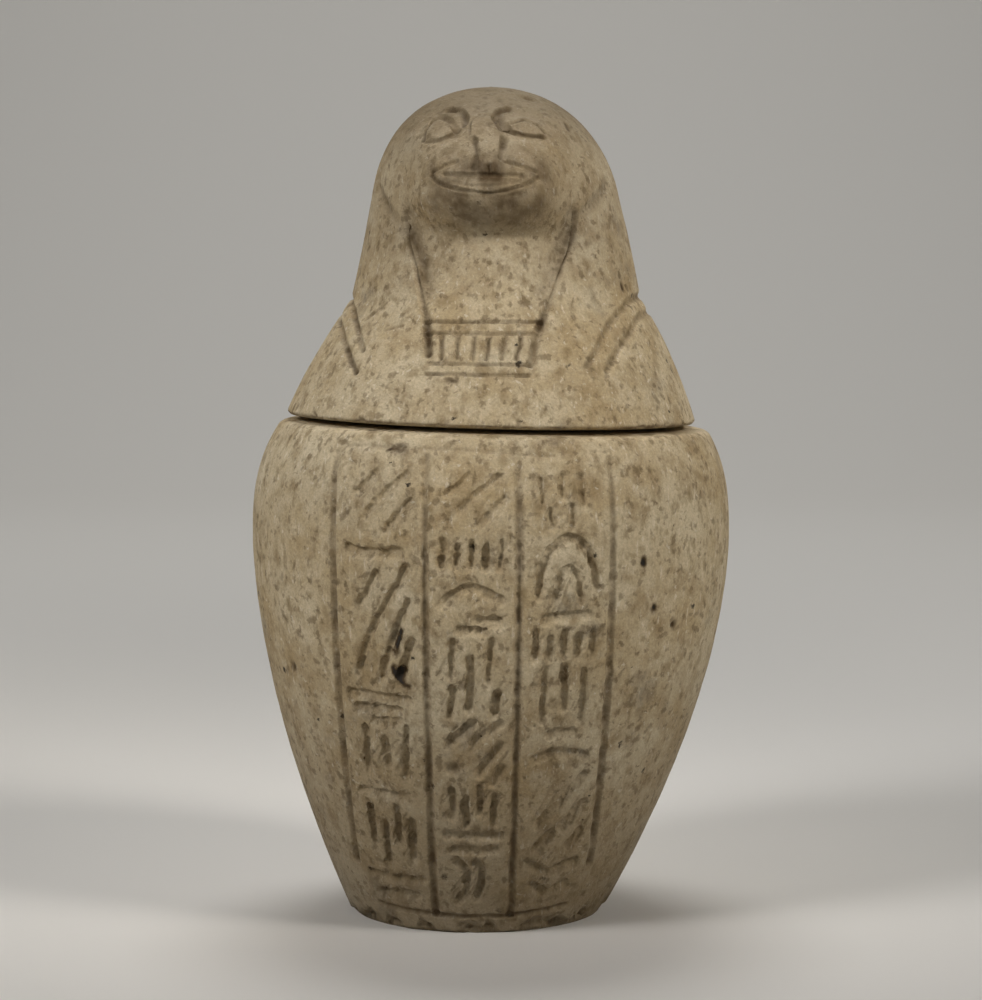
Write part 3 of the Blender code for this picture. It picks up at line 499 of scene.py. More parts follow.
panel_top = RIM_Z - PANEL_TOP_MARGIN
rules = []
for k in range(PANEL_COLUMNS + 1):
    foot = PANEL_FOOT_MARGIN + (SIDE_RULE_STOP if k in (0, PANEL_COLUMNS) else RULE_WIDTH * 0.3)
    rules.append(on_jar(np.full(12, k / PANEL_COLUMNS), np.linspace(foot, panel_top - RULE_WIDTH, 12)))
# The foot's rule curves up to both sides, and the top rule turns down round its left corner
shares = np.linspace(0.08, 0.92, 9)
rise = PANEL_FOOT_LIFT * ((panel_x(shares, PANEL_FOOT_MARGIN) - PANEL_CENTRE) / (0.4 * PANEL_WIDTH)) ** 2
across = np.array([0.0, 0.006, 0.030, 0.08, 0.45, 0.80])
fall = np.array([0.0085, 0.0040, 0.0008, 0.0, 0.0, 0.0014])
top_rule, foot_rule = on_jar(across, panel_top - fall), on_jar(shares, PANEL_FOOT_MARGIN + rise)
print(len(rules) + 2, "rules frame", PANEL_COLUMNS, "columns")

# %% The inscription's strokes
# Each stroke of a group runs through these places across and up, in hundredths of the group's cell
GROUPS = {
    "slants": ["86 94  58 68  34 40", "92 60  60 20", "46 94  18 66"],
    "bar": ["10 60  44 46  78 50"],
    "plume": ["86 97  62 72  34 42  20 14", "88 70  66 42  50 10", "92 40  78 14", "46 92  22 66"],
    "bars": ["06 88  86 76", "16 48  74 42", "36 10  72 12"],
    "drops": ["24 92  22 22", "50 74  53 34", "80 95  78 14"],
    "stems": ["20 90  22 36", "40 70  41 10", "60 94  62 42", "82 76  80 20"],
    "pair": ["10 84  50 74  92 80", "20 22  84 26"],
    "nicks": ["10 22  12 84", "29 22  31 70", "48 22  50 84", "67 22  69 70", "86 22  88 84"],
    "arch": ["12 24  34 60  62 62  88 30"],
    "dashes": ["56 72  84 62", "30 28  66 22"],
    "sticks": ["24 94  20 54", "48 72  46 12", "76 95  70 44", "24 36  20 06", "84 30  80 08"],
    "fan": ["88 95  68 80  46 58", "90 62  58 20", "50 94  16 62", "92 28  80 08"],
    "ripples": ["24 92  40 70  40 34  26 12", "52 88  64 66  64 38  54 18"],
    "ticks": ["18 90  20 46", "44 96  45 60", "70 88  72 44", "30 36  32 08", "58 40  58 06"],
    "swells": ["14 34  24 72  52 92  80 76  90 38", "36 30  44 56  62 56  70 30", "22 08  80 12"],
    "posts": ["24 92  22 30", "50 97  52 44", "78 90  76 24", "34 10  66 12"],
    "lens": ["14 44  46 64  86 46"],
    "chips": ["86 94  60 74", "56 66  24 38", "90 60  58 32", "46 28  24 08", "88 26  70 08"],
    "trough": ["10 86  44 64  86 80", "22 40  46 22  76 36"],
}
# Each column's groups from the top down, with how much of its height each takes
COLUMNS = [
    "slants 14  bar 4  plume 26  bars 7  drops 13  bar 4  stems 15  pair 7",
    "slants 13  nicks 8  arch 8  dashes 5  sticks 18  fan 15  stems 10  pair 6  ripples 12",
    "ticks 10  swells 17  nicks 7  posts 14  lens 6  chips 16  trough 10",
]
COLUMN_START = 0.04
COLUMN_END = 0.97
COLUMN_INSET = 0.09
MARKS_PER_STROKE = 3
MARK_RUN = np.array([0.10, 0.16])

strokes, hatching = [], []
hand = np.random.default_rng(7)
panel_height = panel_top - PANEL_FOOT_MARGIN
for column, row in enumerate(COLUMNS):
    names, sizes = row.split()[0::2], [int(size) for size in row.split()[1::2]]
    start, total = COLUMN_START, sum(sizes)
    for name, size in zip(names, sizes):
        cell = (COLUMN_END - COLUMN_START) * size / total
        drawn = [drawn_line(row, 100.0) for row in GROUPS[name]]
        marks = []
        for stroke in drawn:
            for _ in range(MARKS_PER_STROKE):
                middle = stroke[0] + (stroke[-1] - stroke[0]) * hand.uniform(0.1, 0.9)
                middle = middle + hand.normal(0.0, 0.06, 2)
                run = MARK_RUN * hand.uniform(0.4, 1.4)
                marks.append(np.array([middle - run, middle + run]))
        for kept, shapes in ((strokes, drawn), (hatching, marks)):
            for shape in shapes:
                across, up = np.clip(shape, 0.0, 1.0).T
                inset = COLUMN_INSET + across * (1.0 - 2.0 * COLUMN_INSET)
                z = panel_top - panel_height * (start + cell * (1.0 - up))
                kept.append(on_jar((column + inset) / PANEL_COLUMNS, z))
        start += cell
print(len(strokes), "strokes and", len(hatching), "tool marks in the panel")

# %% The wig, the collar and the face
# The collar's four lines and its pendants' ends, as storeys up
COLLAR_LEVELS = [0.835, 0.745, 0.510, 0.430]
PENDANT_LEVELS = [0.725, 0.555]
PENDANT_GAPS = 7
LAPPET_ENDS, LAPPET_TOP = (0.58, 0.52), 1.82
HEM_LEVEL, BAND_LEVEL = 1.03, 0.90
# The face's lines, in thousandths of the head's radius across and of the dome's height up
MOUTH_LINES = [
    "-490 195  -293 285",
    "95 280  318 195",
    "-390 172  -120 163  200 155",
    "-492 165  -436 98  -246 25  -23 -5  232 75  328 140",
    "-41 250  -41 185",
]
NOSE_LINES = ["-150 470  -148 350  -160 230", "85 480  72 380  66 310"]
EYE_LINES = [
    "-545 475  -525 570  -460 665",
    "150 630  256 660  360 605  405 545",
    "105 555  232 520  405 500",
]
DEEP_LINES = [
    "-460 665  -390 695  -320 650  -275 560",
    "-345 760  -262 755  -212 690  -214 620",
    "130 765  62 735  36 660  75 575",
    "62 735  80 650  110 570",
]
FAINT_LINES = [
    "-530 465  -430 470  -300 525",
    "-185 520  -170 640  -100 700  -20 705  60 660  85 570",
    "-317 95  -86 65  185 100",
    "-492 165  -480 200",
]
CHEEK_LINES = ["-930 60  -880 -60  -800 -200  -720 -310", "890 120  840 20  760 -80  690 -170"]


def on_lid(degrees, levels):
    """Angle and length on the lid of places given in degrees from the front and storeys up."""
    heights = level_height(np.array(levels, float))
    return np.stack([np.radians(degrees), np.interp(heights, LID_HEIGHTS, LID_LENGTHS)], axis=-1)


def on_face(across, up):
    """Angle and length on the head of places in shares of its radius and height."""
    z = TEMPLE_Z + np.array(up, float) * DOME_HEIGHT
    radius = np.interp(z, LID_HEIGHTS, LID_RADII)
    angle = np.arcsin(np.clip(np.array(across) * TEMPLE_RADIUS / radius, -0.98, 0.98))
    return np.stack([angle, np.interp(z, LID_HEIGHTS, LID_LENGTHS)], axis=-1)


def between_lappets(levels):
    """Degrees of the two lappets' edges at some storeys."""
    return [np.degrees(np.interp(levels, LAPPET_LEVELS, edge)) for edge in (LEFT_LAPPET, RIGHT_LAPPET)]


lappets = []
for edge, start in zip((LEFT_LAPPET, RIGHT_LAPPET), LAPPET_ENDS):
    levels = np.linspace(start, LAPPET_TOP, 9)
    lappets.append(on_lid(np.degrees(flowing(levels, LAPPET_LEVELS, edge)), levels))

# The wig's hem and the band below it, in degrees and storeys, run on round the back at one level
right_hem = curve_through([(29, 0.49), (34.5, 0.62), (42, 0.785), (53, 0.92), (70, 1.01), (92, 1.03)])
right_band = curve_through([(36, 0.47), (43, 0.61), (53, 0.75), (66, 0.87), (92, 0.90)])
left_hem = curve_through([(-47, 0.60), (-52, 0.70), (-58.5, 0.81), (-70, 0.93), (-92, 1.03)])
left_band = curve_through([(-45.6, 0.42), (-52, 0.54), (-59.5, 0.655), (-70, 0.77), (-92, 0.90)])
hems = []
for line, level in zip((right_hem, left_hem, right_band, left_band), (HEM_LEVEL,) * 2 + (BAND_LEVEL,) * 2):
    side = math.copysign(1.0, line[-1][0])
    path = np.vstack([line, [(side * angle, level) for angle in range(100, 181, 10)]])
    hems.append(on_lid(path[:, 0], path[:, 1]))

collar, pendants = [], []
for level in COLLAR_LEVELS:
    left, right = between_lappets(level)
    collar.append(on_lid(np.linspace(left, right, 6), np.full(6, level)))
for k in range(1, PENDANT_GAPS):
    left, right = between_lappets(PENDANT_LEVELS)
    pendants.append(on_lid(left + (right - left) * k / PENDANT_GAPS, PENDANT_LEVELS))
face_lines, deep_lines, faint_lines, mane = [], [], [], []
for kept, drawn in (
    (face_lines, MOUTH_LINES + EYE_LINES),
    (deep_lines, NOSE_LINES + DEEP_LINES),
    (faint_lines, FAINT_LINES),
    (mane, CHEEK_LINES),
):
    kept += [on_face(*drawn_line(row, 1000.0).T) for row in drawn]
on_wig = len(lappets) + len(hems) + len(collar) + len(pendants)
print(on_wig, "lines on the wig and", len(face_lines + deep_lines + faint_lines), "on the face")

# %% [markdown]
# ## The carving tree
# Every groove is cut the same way: the closer a point of the stone is to a line, the deeper it is pushed
# in. The distance is taken from where the point was before any cut, so one cut doesn't shift the next. That
# is a rule that follows a line over a surface, so it is a Geometry Nodes tree, used once for each family of
# lines with its own width and depth. A little noise makes the edge waver as a hand-held chisel does. The
# tree also stores how much brown dirt has stayed at each point: more where the cut is deep, and less in
# lengths that have been rubbed. The same value carries painted shade from the lappet and muzzle families,
# which have no depth.

# %% A helper for nodes
def add_node(tree, kind, wires=None, values=None, **settings):
    """Adds a node with its settings, values and links, where a node as source means its first output."""
    node = tree.nodes.new(kind)
    for key, value in settings.items():
        setattr(node, key, value)
    for key, value in (values or {}).items():
        node.inputs[key].default_value = value
    for key, source in (wires or {}).items():
        socket = source.outputs[0] if isinstance(source, bpy.types.Node) else source
        tree.links.new(socket, node.inputs[key])
    return node


def new_tree(name, inputs):
    """An empty Geometry Nodes tree with a geometry in and out and the named inputs."""
    tree = bpy.data.node_groups.new(name, "GeometryNodeTree")
    tree.interface.new_socket("Geometry", in_out="INPUT", socket_type="NodeSocketGeometry")
    tree.interface.new_socket("Geometry", in_out="OUTPUT", socket_type="NodeSocketGeometry")
    for title, kind in inputs.items():
        tree.interface.new_socket(title, in_out="INPUT", socket_type="NodeSocket" + kind)
    return tree


def use_tree(target, tree, **values):
    """Puts a tree on an object, with inputs given by name and set by identifier."""
    modifier = target.modifiers.new(tree.name, "NODES")
    modifier.node_group = tree
    for item in tree.interface.items_tree:
        key = item.name.lower().replace(" ", "_")
        if item.item_type == "SOCKET" and item.in_out == "INPUT" and key in values:
            modifier[item.identifier] = values[key]


def closeness(tree, wires, kind, reach):
    """1 on the nearest line or point, easing to 0 at its reach."""
    near = add_node(tree, "GeometryNodeProximity", wires, target_element=kind)
    wires, values = {"Value": near.outputs["Distance"], "From Max": reach}, {"To Min": 1.0, "To Max": 0.0}
    return add_node(tree, "ShaderNodeMapRange", wires, values, interpolation_type="SMOOTHSTEP")


def finish_tree(tree, given, move, name, value):
    """Moves the stone along its normal, stores a value at its points and gives it its material."""
    normal = add_node(tree, "GeometryNodeInputNormal")
    offset = add_node(tree, "ShaderNodeVectorMath", {0: normal, "Scale": move}, operation="SCALE")
    moved = add_node(tree, "GeometryNodeSetPosition", {"Geometry": given["Geometry"], "Offset": offset})
    wires = {"Geometry": moved, "Value": value}
    stored = add_node(tree, "GeometryNodeStoreNamedAttribute", wires, {"Name": name})
    real = add_node(tree, "GeometryNodeRealizeInstances", {0: stored})
    painted = add_node(tree, "GeometryNodeSetMaterial", {0: real, "Material": given["Material"]})
    add_node(tree, "NodeGroupOutput", {0: painted})
    print(tree.name, "has", len(tree.nodes), "nodes")


# %% The carving tree itself
HAND_SCALE = 230.0
RUBBING_SCALE = 120.0

sizes = {"Half Width": "Float", "Depth": "Float", "Waver": "Float", "Dirt": "Float"}
carve = new_tree("cut_grooves", {"Lines": "Object", **sizes, "Material": "Material"})
given = carve.nodes.new("NodeGroupInput").outputs
lines = add_node(carve, "GeometryNodeObjectInfo", {"Object": given["Lines"]})
rest = add_node(carve, "GeometryNodeInputNamedAttribute", values={"Name": "rest"}, data_type="FLOAT_VECTOR")
hand_noise = add_node(carve, "ShaderNodeTexNoise", {"Vector": rest}, {"Scale": HAND_SCALE, "Detail": 3.0})
wires, values = {0: hand_noise.outputs["Color"]}, {1: (0.5, 0.5, 0.5)}
centred = add_node(carve, "ShaderNodeVectorMath", wires, values, operation="SUBTRACT")
waver = add_node(carve, "ShaderNodeVectorMath", {0: centred, "Scale": given["Waver"]}, operation="SCALE")
moved = add_node(carve, "ShaderNodeVectorMath", {0: rest, 1: waver}, operation="ADD")
wires = {0: lines.outputs["Geometry"], "Sample Position": moved}
share = closeness(carve, wires, "EDGES", given["Half Width"])
values = {"From Min": 0.35, "From Max": 0.60, "To Min": 0.72, "To Max": 1.08}
uneven = add_node(carve, "ShaderNodeMapRange", {"Value": hand_noise}, values)
worn = add_node(carve, "GeometryNodeInputNamedAttribute", values={"Name": "worn"})
pressed = add_node(carve, "ShaderNodeMath", {0: share, 1: uneven}, operation="MULTIPLY")
kept = add_node(carve, "ShaderNodeMath", {0: pressed, 1: worn}, operation="MULTIPLY")
sink = add_node(carve, "ShaderNodeMath", {0: kept, 1: given["Depth"]}, operation="MULTIPLY")
inward = add_node(carve, "ShaderNodeMath", {0: sink}, {1: -1.0}, operation="MULTIPLY")
# Dirt and painted shade stay in lengths, and a family of lines never cleans what an earlier one has left
rubbing = add_node(carve, "ShaderNodeTexNoise", {"Vector": rest}, {"Scale": RUBBING_SCALE, "Detail": 2.0})
values = {"From Min": 0.38, "From Max": 0.62, "To Min": 0.50, "To Max": 1.30}
left_in = add_node(carve, "ShaderNodeMapRange", {"Value": rubbing}, values)
held = add_node(carve, "ShaderNodeMath", {0: left_in, 1: given["Dirt"]}, operation="MULTIPLY")
fresh = add_node(carve, "ShaderNodeMath", {0: kept, 1: held}, operation="MULTIPLY")
before = add_node(carve, "GeometryNodeInputNamedAttribute", values={"Name": "dirt"})
dirt = add_node(carve, "ShaderNodeMath", {0: before, 1: fresh}, operation="MAXIMUM")
finish_tree(carve, given, inward, "dirt", dirt)

# %% [markdown]
# ## The weathering tree
# Limestone isn't even: shells and softer grains fall out and leave small pits, and rubbing leaves slow
# swells. The pits are points scattered over the outside with a fixed seed, and the stone sinks near each. A
# random number from each point's index makes some of them small and shallow. The swells are a slow noise
# that only ever takes stone away, so the jar stays inside its own size.

# %% The weathering tree itself
sizes = {"Pits": "Float", "Pit Radius": "Float", "Pit Depth": "Float", "Swell": "Float"}
weather = new_tree("weather_stone", {**sizes, "Seed": "Int", "Material": "Material"})
given = weather.nodes.new("NodeGroupInput").outputs
worn = add_node(weather, "GeometryNodeInputNamedAttribute", values={"Name": "worn"})
density = add_node(weather, "ShaderNodeMath", {0: worn, 1: given["Pits"]}, operation="MULTIPLY")
wires = {"Mesh": given["Geometry"], "Density": density, "Seed": given["Seed"]}
points = add_node(weather, "GeometryNodeDistributePointsOnFaces", wires)
which = add_node(weather, "GeometryNodeSampleNearest", {0: points})
wires = {"ID": which, "Seed": given["Seed"]}
chance = add_node(weather, "FunctionNodeRandomValue", wires, {2: 0.3, 3: 1.0}).outputs[1]
reach = add_node(weather, "ShaderNodeMath", {0: chance, 1: given["Pit Radius"]}, operation="MULTIPLY")
share = closeness(weather, {0: points}, "POINTS", reach)
pit = add_node(weather, "ShaderNodeMath", {0: share, 1: worn}, operation="MULTIPLY")
scaled = add_node(weather, "ShaderNodeMath", {0: pit, 1: chance}, operation="MULTIPLY")
sink = add_node(weather, "ShaderNodeMath", {0: scaled, 1: given["Pit Depth"]}, operation="MULTIPLY")
slow = add_node(weather, "ShaderNodeTexNoise", values={"Scale": 42.0, "Detail": 4.0, "Roughness": 0.68})
below = add_node(weather, "ShaderNodeMath", {0: slow}, {1: 0.9}, operation="SUBTRACT")
swell = add_node(weather, "ShaderNodeMath", {0: below, 1: given["Swell"]}, operation="MULTIPLY")
rubbed = add_node(weather, "ShaderNodeMath", {0: swell, 1: worn}, operation="MULTIPLY")
move = add_node(weather, "ShaderNodeMath", {0: rubbed, 1: sink}, operation="SUBTRACT")
finish_tree(weather, given, move, "pit", scaled)

# %% [markdown]
# ## The stone
# Beige limestone with fossil flecks, cut with copper and stone tools, rubbed smooth, then handled and
# buried. Rubbed limestone is matt: light sinks in a little and scatters, so its roughness is high and its
# highlights are weak. The soft tints are noises from a millimetre and a half to a few centimetres wide.
# Each kind of fleck is one oval in each cell of a Voronoi pattern, with its own turn and size from the
# cell's random colour, and a fine noise makes its outline ragged as broken shell is. Dirt, painted shade
# and pits come from the attributes that the two trees have stored. Films darken the foot with grime and
# painted shade, and the upper lid and the head with handling patina and painted shade.

# %% Colours and the limestone
PALE = "#C8B99A"
# Soft tints: colour, size in mm, turn in degrees, stretch, detail, noise where it starts and is full, share
TINTS = [
    ("#AE9973", 38.0, 0.0, 1.0, 4.0, 0.35, 0.65, 1.00),
    ("#8C7550", 9.0, 0.0, 1.0, 4.0, 0.48, 0.70, 0.60),
    ("#D6C8AA", 8.0, 90.0, 1.0, 4.0, 0.50, 0.72, 0.50),
    ("#DACDB3", 1.5, 38.0, 0.20, 2.0, 0.62, 0.72, 0.60),
    ("#7D6947", 4.2, 60.0, 0.6, 3.0, 0.54, 0.70, 0.60),
    ("#6A645A", 23.0, 20.0, 1.0, 6.0, 0.60, 0.74, 0.55),
]
# Flecks of shell: colour, spacing and half of the longest one in mm, times longer than wide, share, depth
FLECKS = [
    ("#84704C", 7.5, 4.8, 1.8, 0.50, 0.0),
    ("#645235", 4.8, 5.8, 3.6, 0.56, 0.0),
    ("#5A4930", 3.5, 3.4, 3.0, 0.44, 0.0),
    ("#E0D6BF", 4.4, 2.9, 4.4, 0.50, 0.0),
    ("#2C2418", 12.0, 2.0, 1.5, 0.95, 1.5),
]
GRAIN_MM = 0.9
RAGGED_MM = 1.4
RAGGED_REACH = 0.0026
# Films of grime, handling patina and painted shade: height where it starts and where it is full, share,
# whether the head's patina and painted shade scale that share, colour
GRIME_AND_SHADE_FILMS = [
    (0.115, 0.0, 0.68, False, "#554732"),
    (0.222, 0.250, 0.5, True, "#64533A"),
    (0.270, 0.292, 1.0, True, "#54462F"),
]
# Brown dirt and painted shade, black where the dirt is thickest, and dark pits: attribute, where it starts
# and is full, colour
DIRT_SHADE_AND_PITS = [("dirt", 0.0, 1.0, "#4C3A20"), ("dirt", 1.05, 1.45, "#2A241B"), ("pit", 0.25, 0.8, "#33281A")]


def linear(hex_colour):
    """An sRGB hex colour as the linear colour that a shader wants."""
    srgb = np.array([int(hex_colour[k : k + 2], 16) / 255 for k in (1, 3, 5)])
    value = np.where(srgb <= 0.04045, srgb / 12.92, ((srgb + 0.055) / 1.055) ** 2.4)
    return (*value.tolist(), 1.0)


def per_metre(millimetres):
    """The scale of a texture whose pattern repeats about every so many millimetres."""
    return 1000.0 / millimetres


def laid_over(tree, colour, tint, value, low, high, most=1.0):
    """Lays a tint over a colour, none of it at the low end of the value and most of it at the high end."""
    values = {"From Min": low, "From Max": high, "To Max": most}
    share = add_node(tree, "ShaderNodeMapRange", {"Value": value}, values)
    wires, values = {0: share}, {7: linear(tint)}
    if colour == PALE:
        values[6] = linear(PALE)
    else:
        wires[6] = colour
    return add_node(tree, "ShaderNodeMix", wires, values, data_type="RGBA").outputs[2], share


def limestone(name, head_patina_and_shade):
    """Matt limestone; its second argument is how much handling patina and painted shade darken the upper lid
    and the head.
    """
    material = bpy.data.materials.new(name)
    material.use_nodes = True
    tree = material.node_tree
    tree.nodes.clear()
    place = add_node(tree, "ShaderNodeTexCoord").outputs["Object"]
    colour = PALE
    for tint, size, turn, stretch, detail, low, high, most in TINTS:
        values = {"Rotation": (0.0, math.radians(turn), 0.0), "Scale": (1.0, 1.0, stretch)}
        turned = add_node(tree, "ShaderNodeMapping", {"Vector": place}, values)
        values = {"Scale": per_metre(size), "Detail": detail, "Roughness": 0.62}
        smears = add_node(tree, "ShaderNodeTexNoise", {"Vector": turned}, values)
        colour, _ = laid_over(tree, colour, tint, smears, low, high, most)

    # The stone's own grain, a few tenths of a millimetre, is too fine to show, so it is drawn coarser
    values = {"Scale": per_metre(GRAIN_MM), "Detail": 3.0, "Roughness": 0.75}
    grain = add_node(tree, "ShaderNodeTexNoise", {"Vector": place}, values)
    values = {"From Min": 0.30, "From Max": 0.70, "To Min": 0.80, "To Max": 1.18}
    tone = add_node(tree, "ShaderNodeMapRange", {"Value": grain}, values)
    colour = add_node(tree, "ShaderNodeVectorMath", {0: colour, "Scale": tone}, operation="SCALE")

    # Each fleck fills part of a cell, with its own turn and size from the cell's random colour
    values = {"Scale": per_metre(RAGGED_MM), "Detail": 2.0}
    ripple = add_node(tree, "ShaderNodeTexNoise", {"Vector": place}, values)
    height = add_node(tree, "ShaderNodeMath", {0: ripple, 2: grain}, {1: 0.8}, operation="MULTIPLY_ADD")
    wires, values = {0: ripple.outputs["Color"], 2: place}, {1: (RAGGED_REACH,) * 3}
    shaken = add_node(tree, "ShaderNodeVectorMath", wires, values, operation="MULTIPLY_ADD")
    for tint, apart, half, squeeze, most, depth in FLECKS:
        moved = add_node(tree, "ShaderNodeMapping", {"Vector": shaken}, {"Location": (half, 0.0, apart)})
        cells = add_node(tree, "ShaderNodeTexVoronoi", {"Vector": moved}, {"Scale": per_metre(apart)})
        chance, middle = cells.outputs["Color"], cells.outputs["Position"]
        inside = add_node(tree, "ShaderNodeVectorMath", {0: moved, 1: middle}, operation="SUBTRACT")
        values = {"Scale": 2.0 * math.pi}
        turn = add_node(tree, "ShaderNodeVectorMath", {0: chance}, values, operation="SCALE")
        wires = {"Vector": inside, "Rotation": turn}
        spun = add_node(tree, "ShaderNodeVectorRotate", wires, rotation_type="EULER_XYZ")
        values = {1: (1.0, squeeze, squeeze)}
        thin = add_node(tree, "ShaderNodeVectorMath", {0: spun}, values, operation="MULTIPLY")
        far = add_node(tree, "ShaderNodeVectorMath", {0: thin}, operation="LENGTH").outputs["Value"]
        size = add_node(tree, "ShaderNodeSeparateXYZ", {0: chance}).outputs[2]
        reach = add_node(tree, "ShaderNodeMath", {0: size}, {1: half / 1000.0}, operation="MULTIPLY")
        ratio = add_node(tree, "ShaderNodeMath", {0: far, 1: reach}, operation="DIVIDE")
        colour, share = laid_over(tree, colour, tint, ratio, 1.0, 0.5, most)
        if depth:
            wires = {0: share, 2: height}
            height = add_node(tree, "ShaderNodeMath", wires, {1: -depth}, operation="MULTIPLY_ADD")

    # Grime and painted shade towards the foot and, on the lid, handling patina and painted shade over the
    # upper lid and the head
    level = add_node(tree, "ShaderNodeSeparateXYZ", {0: place}).outputs[2]
    for low, high, most, on_head, tint in GRIME_AND_SHADE_FILMS:
        colour, _ = laid_over(tree, colour, tint, level, low, high, most * head_patina_and_shade if on_head else most)
    for attribute, low, high, tint in DIRT_SHADE_AND_PITS:
        found = add_node(tree, "ShaderNodeAttribute", attribute_name=attribute).outputs["Fac"]
        colour, _ = laid_over(tree, colour, tint, found, low, high)

    bump = add_node(tree, "ShaderNodeBump", {"Height": height}, {"Strength": 0.55, "Distance": 0.0005})
    rough = add_node(tree, "ShaderNodeMapRange", {"Value": smears}, {"To Min": 0.62, "To Max": 0.86})
    wires = {"Base Color": colour, "Roughness": rough, "Normal": bump}
    # The IOR is calcite's, and a rubbed, dusty face throws back less than that would
    shader = add_node(tree, "ShaderNodeBsdfPrincipled", wires, {"IOR": 1.49, "Specular IOR Level": 0.35})
    add_node(tree, "ShaderNodeOutputMaterial", {"Surface": shader})
    return material


# The jar has no head film; on the lid, handling patina and painted shade darken the upper part and the head
jar_stone = limestone("rubbed_limestone_jar", 0.0)
lid_stone = limestone("rubbed_limestone_lid", 0.62)
print("two limestones, matt, of", len(jar_stone.node_tree.nodes), "nodes each")

# %% [markdown]
# ## Carving the jar
# The wide, shallow cuts come first, where the ground of the panel was rubbed down round the strokes. The
# rules, the strokes and the tool marks follow, each with the width and depth of the real cut. Under each
# stroke lies a shallow slope, where the chisel came in from below. Last come chips along the foot and the
# rim. The fine mesh has far more faces than its flat parts need, so a Decimate modifier then thins it, and
# keeps most faces in the cuts.

# %% The carved jar
# Black stains in the panel, as shares of its width and heights in metres
STAINS = [
    ([0.215, 0.245], [0.1735, 0.1732]),
    ([0.24, 0.215], [0.113, 0.105]),
    ([0.235, 0.25], [0.097, 0.093]),
]
# Dark scars on the flanks, as degrees from the front and heights in metres
SCARS = [(37.1, 0.1347), (41.1, 0.1182), (49.1, 0.1113), (-58.0, 0.0950)]
PIT_SHARES, PIT_HEIGHTS = np.array([0.422, 0.426]), np.array([0.0637, 0.0637])
STROKE_SLOPE = 0.0013
KEPT_OF_JAR = 0.45


def chips(count, lengths, size, seed, low=-math.pi, high=math.pi):
    """Short random scars round an edge, as paths of (angle, length)."""
    dice = np.random.default_rng(seed)
    made = []
    for _ in range(count):
        angle, length = dice.uniform(low, high), dice.choice(lengths)
        slant = dice.uniform(-size, size, 2)
        made.append([(angle, length), (angle + slant[0] / BASE_RADIUS, max(0.0, length + slant[1]))])
    return made


def carve_all(target, surface, stone, cuts):
    """Carves rows of name, paths, half width, depth and waver in mm, and share of dirt and painted shade."""
    for name, paths, half, depth, waver, dirt in cuts:
        sizes = {"half_width": half / 1000.0, "depth": depth / 1000.0, "waver": waver / 1000.0}
        lines = lines_object(name, paths, surface)
        use_tree(target, carve, lines=lines, dirt=dirt, material=stone, **sizes)


slopes = [stroke - [0.0, STROKE_SLOPE] for stroke in strokes]
stains = [on_jar(np.array(at), np.array(up)) for at, up in STAINS]
scars = [[(math.radians(turn), np.interp(z, JAR_HEIGHTS, JAR_LENGTHS))] * 2 for turn, z in SCARS]
foot_chips = chips(54, [0.0, 0.0014], 0.0034, 11)
rim_chips = chips(40, [JAR_LENGTHS[-1], JAR_LENGTHS[-1] - 0.0010], 0.0020, 12)
JAR_CUTS = [
    ("rubbed_ground", strokes, 4.0, 0.30, 3.0, 0.12),
    ("panel_rules", rules, 1.90, 1.60, 1.2, 0.60),
    ("top_rule", [top_rule], 1.10, 0.65, 1.2, 0.40),
    ("foot_rule", [foot_rule], 1.50, 1.10, 1.6, 0.55),
    ("lower_slopes", slopes, 2.20, 1.15, 3.0, 0.03),
    ("broad_strokes", strokes[0::3], 1.35, 1.60, 2.8, 0.16),
    ("thin_strokes", strokes[1::3], 0.85, 1.30, 2.2, 0.24),
    ("plain_strokes", strokes[2::3], 1.05, 1.45, 2.6, 0.19),
    ("tool_marks", hatching, 0.65, 0.50, 1.6, 0.18),
    ("stains", stains, 3.0, 0.10, 8.0, 2.0),
    ("scars", scars, 2.7, 1.10, 4.4, 1.9),
    ("round_pit", [on_jar(PIT_SHARES, PIT_HEIGHTS)], 3.4, 2.20, 0.4, 0.7),
    ("foot_chips", foot_chips, 4.0, 2.60, 4.0, 0.2),
    ("rim_chips", rim_chips, 1.3, 0.60, 1.2, 0.5),
]
carve_all(jar_blank, jar_surface, jar_stone, JAR_CUTS)
weathering = {"pits": 3200.0, "pit_radius": 0.0011, "pit_depth": 0.0008, "swell": 0.0007}
use_tree(jar_blank, weather, seed=3, material=jar_stone, **weathering)


def to_plain_mesh(blank, name, kept):
    """The carved blank as a plain mesh that keeps this share of its faces."""
    thinned = blank.modifiers.new("thin_the_flats", "DECIMATE")
    thinned.ratio = kept
    graph = bpy.context.evaluated_depsgraph_get()
    mesh = bpy.data.meshes.new_from_object(blank.evaluated_get(graph))
    mesh.name = name
    mesh.attributes.remove(mesh.attributes["rest"])
    blank.modifiers.clear()
    bpy.data.objects.remove(blank)
    mesh.shade_smooth()
    print(name, "is", sum(len(face.vertices) - 2 for face in mesh.polygons), "triangles")
    return add_object(name, mesh)


jar = to_plain_mesh(jar_blank, "jar_stone", KEPT_OF_JAR)
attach(jar, "root")
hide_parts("jar")
